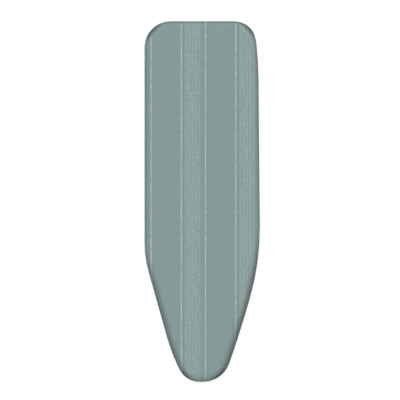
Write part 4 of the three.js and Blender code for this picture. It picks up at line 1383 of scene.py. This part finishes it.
def box_stitch(start, stop, y_low, y_high):
    """A sewn box with a cross in it, from one place in X and Z to another, as three lines."""
    (x_low, z_low), (x_high, z_high) = start, stop
    near = [(x_low, y, z_low) for y in (y_low, y_high)]
    far = [(x_high, y, z_high) for y in (y_low, y_high)]
    loop = [near[0], far[0], far[1], near[1], near[0]]
    return [loop, [near[0], far[1]], [far[0], near[1]]]


class BOARD_COVER_OT_straps(Operator):
    """Make the elastic straps across the underside with their sewn ends"""

    bl_idname = "board_cover.straps"
    bl_label = "Elastic Straps"

    def execute(self, context):
        settings = context.scene.board_cover
        strap, hem = settings.strap, settings.hem
        webbing = webbing_material(strap)
        sewn_lines = []
        for k in STRAPS:
            node = f"strap_{k}_webbing"
            path, lap_start, loop_end = strap_path(k, strap)
            path = smoothed(path, 1.3 * MM)
            look = (strap.thickness, webbing, strap.ribs, strap.rib_depth)
            piece, width, far = band_piece(f"strap_{k}_elastic", path, node, *look)
            settle(piece, "cover", node)
            low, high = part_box(node)
            sides = [middle_of(node).y + side * BOX_HALF_WIDTH * width for side in (-1, 1)]
            under_lap = middle_of("hem_casing").z - strap.thickness - LAP_STITCH_DROP
            first, last = LAP_BOX_INSETS
            lap = ((lap_start + first, under_lap), (loop_end - last, under_lap))
            under_end = high.z - strap.thickness
            first, last = END_BOX_INSETS
            sewn_stop = (low.x + strap.sewn_length - last, under_end - SEWN_END_FALL)
            sewn = ((low.x + first, under_end - END_STITCH_DROP), sewn_stop)
            sewn_lines += box_stitch(*lap, *sides) + box_stitch(*sewn, *sides)
        thread = thread_material("strap_thread", hem.strap_thread_colour)
        settle(stitches("strap_stitches", hem, sewn_lines, thread), "cover")
        return {"FINISHED"}


# Clips, cord lock and end piece


def merged_mesh(node):
    """A node's mesh with its corners joined and its flat faces whole."""
    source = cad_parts[node].data
    points = points_of(source)
    grid = np.round(points / 2e-6)
    _, first, same = np.unique(grid, axis=0, return_index=True, return_inverse=True)
    same = same.ravel()
    faces = [tuple(same[list(p.vertices)].tolist()) for p in source.polygons]
    mesh = bpy.data.meshes.new(node)
    mesh.from_pydata(points[first].tolist(), [], [f for f in faces if len(set(f)) == 3])
    shape = bmesh.new()
    shape.from_mesh(mesh)
    bmesh.ops.dissolve_limit(shape, angle_limit=math.radians(2), verts=shape.verts, edges=shape.edges)
    shape.to_mesh(mesh)
    shape.free()
    return mesh


def dark_plastic(fitting):
    """The plastic that the clips, the lock and the end piece share."""
    return Workshop.get("plastic", plastic_material, "dark_plastic", fitting.plastic_colour, 0.42)


def steel(fitting):
    """The steel that the springs and pins share."""
    return Workshop.get("steel", steel_material, fitting)


def grooves(fitting, x, y, z, across):
    """Five bars in a row along X that cut grip grooves, each as long as given across the row."""
    pitch = fitting.grip_pitch
    return follow(
        "grip_cutter",
        Workshop.get("grooves", groove_tree),
        [[(x, y, z), (x + GROOVE_ROW * pitch, y, z)]],
        dark_plastic(fitting),
        bar_width=GROOVE_WIDTH * pitch,
        bar_depth=2 * fitting.grip_depth,
        bar_length=across,
        pitch=pitch,
    )


def moulded(name, node, material, rounding, cutters=()):
    """A moulded copy of a node, with its grooves cut and its edges rounded."""
    mesh = merged_mesh(node)
    mesh.materials.append(material)
    piece = linked(name, mesh)
    for cutter in cutters:
        cut = piece.modifiers.new("groove", "BOOLEAN")
        cut.operation = "DIFFERENCE"
        cut.solver = "EXACT"
        cut.object = cutter
    bevel = piece.modifiers.new("rounding", "BEVEL")
    bevel.width = rounding
    bevel.segments = 2
    bevel.limit_method = "ANGLE"
    bevel.angle_limit = ROUNDED_FROM
    finished(piece, material)
    piece.data.shade_smooth()
    piece.data.set_sharp_from_angle(angle=SHARP_FROM)
    for cutter in cutters:
        bpy.data.objects.remove(cutter)
    return piece


def wound(name, fitting, line, wire):
    """A piece of round wire along a line."""
    return follow(name, Workshop.get("wire", wire_tree), [line], steel(fitting), radius=wire / 2)


def coil(turns, radius):
    """How far along a coil each point of its wire is, from 0 to 1, and its two places across the coil."""
    parts = np.linspace(0.0, 1.0, int(turns * WIRE_STEPS_PER_TURN) + 1)
    angles = 2 * math.pi * turns * parts
    return parts, radius * np.cos(angles), radius * np.sin(angles)


def turned_pin(name, node, fitting):
    """A round pin along Y with chamfered ends."""
    low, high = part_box(node)
    centre = middle_of(node)
    chamfer = fitting.pin_chamfer
    wide = (high.z - low.z) / 2
    narrow = wide - chamfer
    rows = [(low.y, narrow), (low.y + chamfer, wide), (high.y - chamfer, wide), (high.y, narrow)]
    sides = 32
    angles = ring_angles(sides)
    points = [(centre.x + r * math.cos(a), y, centre.z + r * math.sin(a)) for y, r in rows for a in angles]
    piece = new_piece(name, points, capped_faces(len(rows), sides), steel(fitting))
    piece.data.set_sharp_from_angle(angle=PIN_SHARP_FROM)
    return piece


def clip_spring_line(k, fitting):
    """The clip spring's wire: a leg on the jaw, the coil round the pin and a leg under the plate."""
    pin = middle_of(f"strap_{k}_clip_pin")
    low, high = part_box(f"strap_{k}_clip_spring")
    half = fitting.clip_pitch * fitting.clip_turns / 2
    parts, below, beside = coil(fitting.clip_turns, fitting.clip_coil)
    line = np.column_stack([pin.x + beside, pin.y + half * (1 - 2 * parts), pin.z - below])
    leg_x = pin.x - fitting.clip_leg
    first = (leg_x, pin.y + half, low.z + fitting.clip_wire / 2)
    last = (leg_x, pin.y - half, high.z - fitting.clip_wire / 2)
    return [first, *line, last], half


class BOARD_COVER_OT_clips(Operator):
    """Make the spring clips at the straps' ends"""

    bl_idname = "board_cover.clips"
    bl_label = "Spring Clips"

    def execute(self, context):
        fitting = context.scene.board_cover.fitting
        plastic = dark_plastic(fitting)
        for k in STRAPS:
            jaw_node, body_node, pin_node = (f"strap_{k}_clip_{part}" for part in ("jaw", "body", "pin"))
            jaw_low, jaw_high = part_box(jaw_node)
            pin = middle_of(pin_node)
            across = CLIP_GRIP_SHARE * (jaw_high.y - jaw_low.y)
            grip = grooves(fitting, jaw_low.x + CLIP_GRIP_START, pin.y, jaw_low.z, across)
            jaw = moulded(f"strap_{k}_jaw_moulded", jaw_node, plastic, fitting.rounding, [grip])
            settle(jaw, f"clip_{k}_jaw", jaw_node)
            body_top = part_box(body_node)[1].z
            grip = grooves(fitting, pin.x - CLIP_GRIP_START, pin.y, body_top, across)
            body = moulded(f"strap_{k}_body_moulded", body_node, plastic, fitting.rounding, [grip])
            settle(body, "cover", body_node)
            rod = turned_pin(f"strap_{k}_pin_turned", pin_node, fitting)
            settle(rod, "cover", pin_node)
            line, half = clip_spring_line(k, fitting)
            spring = wound(f"strap_{k}_spring_wound", fitting, line, fitting.clip_wire)
            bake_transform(spring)
            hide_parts(f"strap_{k}_clip_spring")
        return {"FINISHED"}


def gripped(name, node, fitting, grip_x, share_across, rounding):
    """A moulded copy of a node in dark plastic, with grip grooves on its top and its underside."""
    low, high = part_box(node)
    across = share_across * (high.y - low.y)
    y = middle_of(node).y
    grips = [grooves(fitting, grip_x, y, z, across) for z in (low.z, high.z)]
    return moulded(name, node, dark_plastic(fitting), rounding, grips)


class BOARD_COVER_OT_cord_lock(Operator):
    """Make the sprung cord lock and the cord's end piece"""

    bl_idname = "board_cover.cord_lock"
    bl_label = "Cord Lock"

    def execute(self, context):
        fitting = context.scene.board_cover.fitting
        node = "cord_lock_barrel"
        grip = (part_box(node)[0].x + LOCK_GRIP_START, LOCK_GRIP_SHARE)
        barrel = gripped("cord_lock_barrel_moulded", node, fitting, *grip, fitting.rounding)
        settle(barrel, "cord_lock", node)
        pale = plastic_material("pale_plastic", fitting.button_colour, 0.4)
        button = moulded("cord_lock_button_moulded", "cord_lock_button", pale, fitting.rounding)
        settle(button, "lock_button", "cord_lock_button")

        low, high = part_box("cord_lock_spring")
        centre = (low + high) / 2
        wire = fitting.lock_wire
        parts, beside, above = coil(fitting.lock_turns, (high.z - low.z - wire) / 2)
        x = between(low.x + wire / 2, high.x - wire / 2, parts)
        line = np.column_stack([x, centre.y + beside, centre.z + above])
        spring = wound("cord_lock_spring_wound", fitting, line, wire)
        settle(spring, "cord_lock", "cord_lock_spring")
        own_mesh(spring)

        node = "cord_end_piece"
        grip = (middle_of(node).x - 2 * fitting.grip_pitch, END_GRIP_SHARE)
        end = gripped("cord_end_piece_moulded", node, fitting, *grip, 1.5 * fitting.rounding)
        settle(end, "cover", node)
        return {"FINISHED"}


# Stage


def floor_material(stage):
    """A white floor that keeps the shadow, seen from above only, and lets other light through."""
    material = bpy.data.materials.new("floor")
    graph = emptied(material)
    white = opaque(stage.floor_colour)
    matte = graph.node("ShaderNodeBsdfDiffuse", {"Color": white}).outputs[0]
    glow = graph.node("ShaderNodeEmission", {"Color": white, "Strength": 1.0}).outputs[0]
    surface = graph.node("ShaderNodeMixShader", {0: stage.floor_glow, 1: matte, 2: glow}).outputs[0]
    clear = graph.node("ShaderNodeBsdfTransparent").outputs[0]
    front = graph.minus(1.0, graph.node("ShaderNodeNewGeometry").outputs["Backfacing"])
    shown = graph.times(graph.seen_directly(), front)
    final = graph.node("ShaderNodeMixShader", {0: shown, 1: clear, 2: surface}).outputs[0]
    graph.node("ShaderNodeOutputMaterial", {"Surface": final})
    return material


def soft_lamp(name, strength, softness, lean, side, upward=False):
    """A broad lamp far away, leaning from straight above or straight below."""
    data = bpy.data.lights.new(name, "SUN")
    data.energy = strength
    data.angle = softness
    height = -math.cos(lean) if upward else math.cos(lean)
    source = Vector((math.sin(lean) * math.sin(side), math.sin(lean) * math.cos(side), height))
    linked(name, data).rotation_euler = (-source).to_track_quat("-Z", "Y").to_euler()


def sky(stage):
    """Even light from all round, stronger from below, and plain white where the camera sees it."""
    world = bpy.data.worlds.new("studio")
    graph = emptied(world)
    _, _, height = graph.split(graph.node("ShaderNodeTexCoord").outputs["Generated"])
    strength = graph.ramp(height, -0.15, 0.15, stage.ground_level, stage.sky_level)
    lit, white = (
        graph.node("ShaderNodeBackground", {"Color": (1, 1, 1, 1), "Strength": light}).outputs[0]
        for light in (strength, 1.0)
    )
    final = graph.node("ShaderNodeMixShader", {0: graph.seen_directly(), 1: lit, 2: white}).outputs[0]
    graph.node("ShaderNodeOutputWorld", {"Surface": final})
    bpy.context.scene.world = world


class BOARD_COVER_OT_stage(Operator):
    """Make the floor, the lamps, the sky and the camera"""

    bl_idname = "board_cover.stage"
    bl_label = "Stage"

    def execute(self, context):
        scene = context.scene
        stage = scene.board_cover.stage
        half = stage.floor_size / 2
        corners = [(-half, -half, 0), (half, -half, 0), (half, half, 0), (-half, half, 0)]
        floor = new_piece("floor", corners, [(0, 1, 2, 3)], floor_material(stage))
        soft_lamp("key", stage.key_level, stage.key_softness, stage.key_lean, stage.key_side)
        softness, lean = stage.under_softness, stage.under_lean
        soft_lamp("under", stage.under_level, softness, lean, stage.under_side, upward=True)
        soft_lamp("under_fill", stage.under_fill, softness, lean, stage.fill_side, upward=True)
        sky(stage)
        data = bpy.data.cameras.new("camera")
        data.lens = stage.lens
        rim_height = cad_high.z - scene.board_cover.cloth.rim_drop
        distance = stage.view_width * stage.lens / data.sensor_width
        camera = linked("camera", data)
        camera.location = (stage.view_x, stage.view_y, rim_height + distance)
        scene.camera = camera
        scene.view_settings.view_transform = "Standard"
        return {"FINISHED"}


class BOARD_COVER_PT_panel(Panel):
    """Lists the steps that make the cover"""

    bl_idname = "BOARD_COVER_PT_panel"
    bl_label = "Ironing Board Cover"
    bl_space_type = "VIEW_3D"
    bl_region_type = "UI"
    bl_category = "Board Cover"

    def draw(self, context):
        for operator in OPERATORS:
            self.layout.operator(operator.bl_idname)


GROUPS = (
    ClothSettings,
    PaddingSettings,
    HemSettings,
    StrapSettings,
    FittingSettings,
    StageSettings,
    BoardCoverSettings,
)
OPERATORS = (
    BOARD_COVER_OT_cloth,
    BOARD_COVER_OT_padding,
    BOARD_COVER_OT_hem,
    BOARD_COVER_OT_drawcord,
    BOARD_COVER_OT_label,
    BOARD_COVER_OT_straps,
    BOARD_COVER_OT_clips,
    BOARD_COVER_OT_cord_lock,
    BOARD_COVER_OT_stage,
)


def register():
    for kind in (*GROUPS, *OPERATORS, BOARD_COVER_PT_panel):
        bpy.utils.register_class(kind)
    bpy.types.Scene.board_cover = PointerProperty(type=BoardCoverSettings)


def unregister():
    del bpy.types.Scene.board_cover
    for kind in reversed((*GROUPS, *OPERATORS, BOARD_COVER_PT_panel)):
        bpy.utils.unregister_class(kind)


def main():
    register()
    bpy.ops.board_cover.cloth()
    bpy.ops.board_cover.padding()
    bpy.ops.board_cover.hem()
    bpy.ops.board_cover.drawcord()
    bpy.ops.board_cover.label()
    bpy.ops.board_cover.straps()
    bpy.ops.board_cover.clips()
    bpy.ops.board_cover.cord_lock()
    bpy.ops.board_cover.stage()
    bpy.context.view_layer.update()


if __name__ == "__main__":
    main()
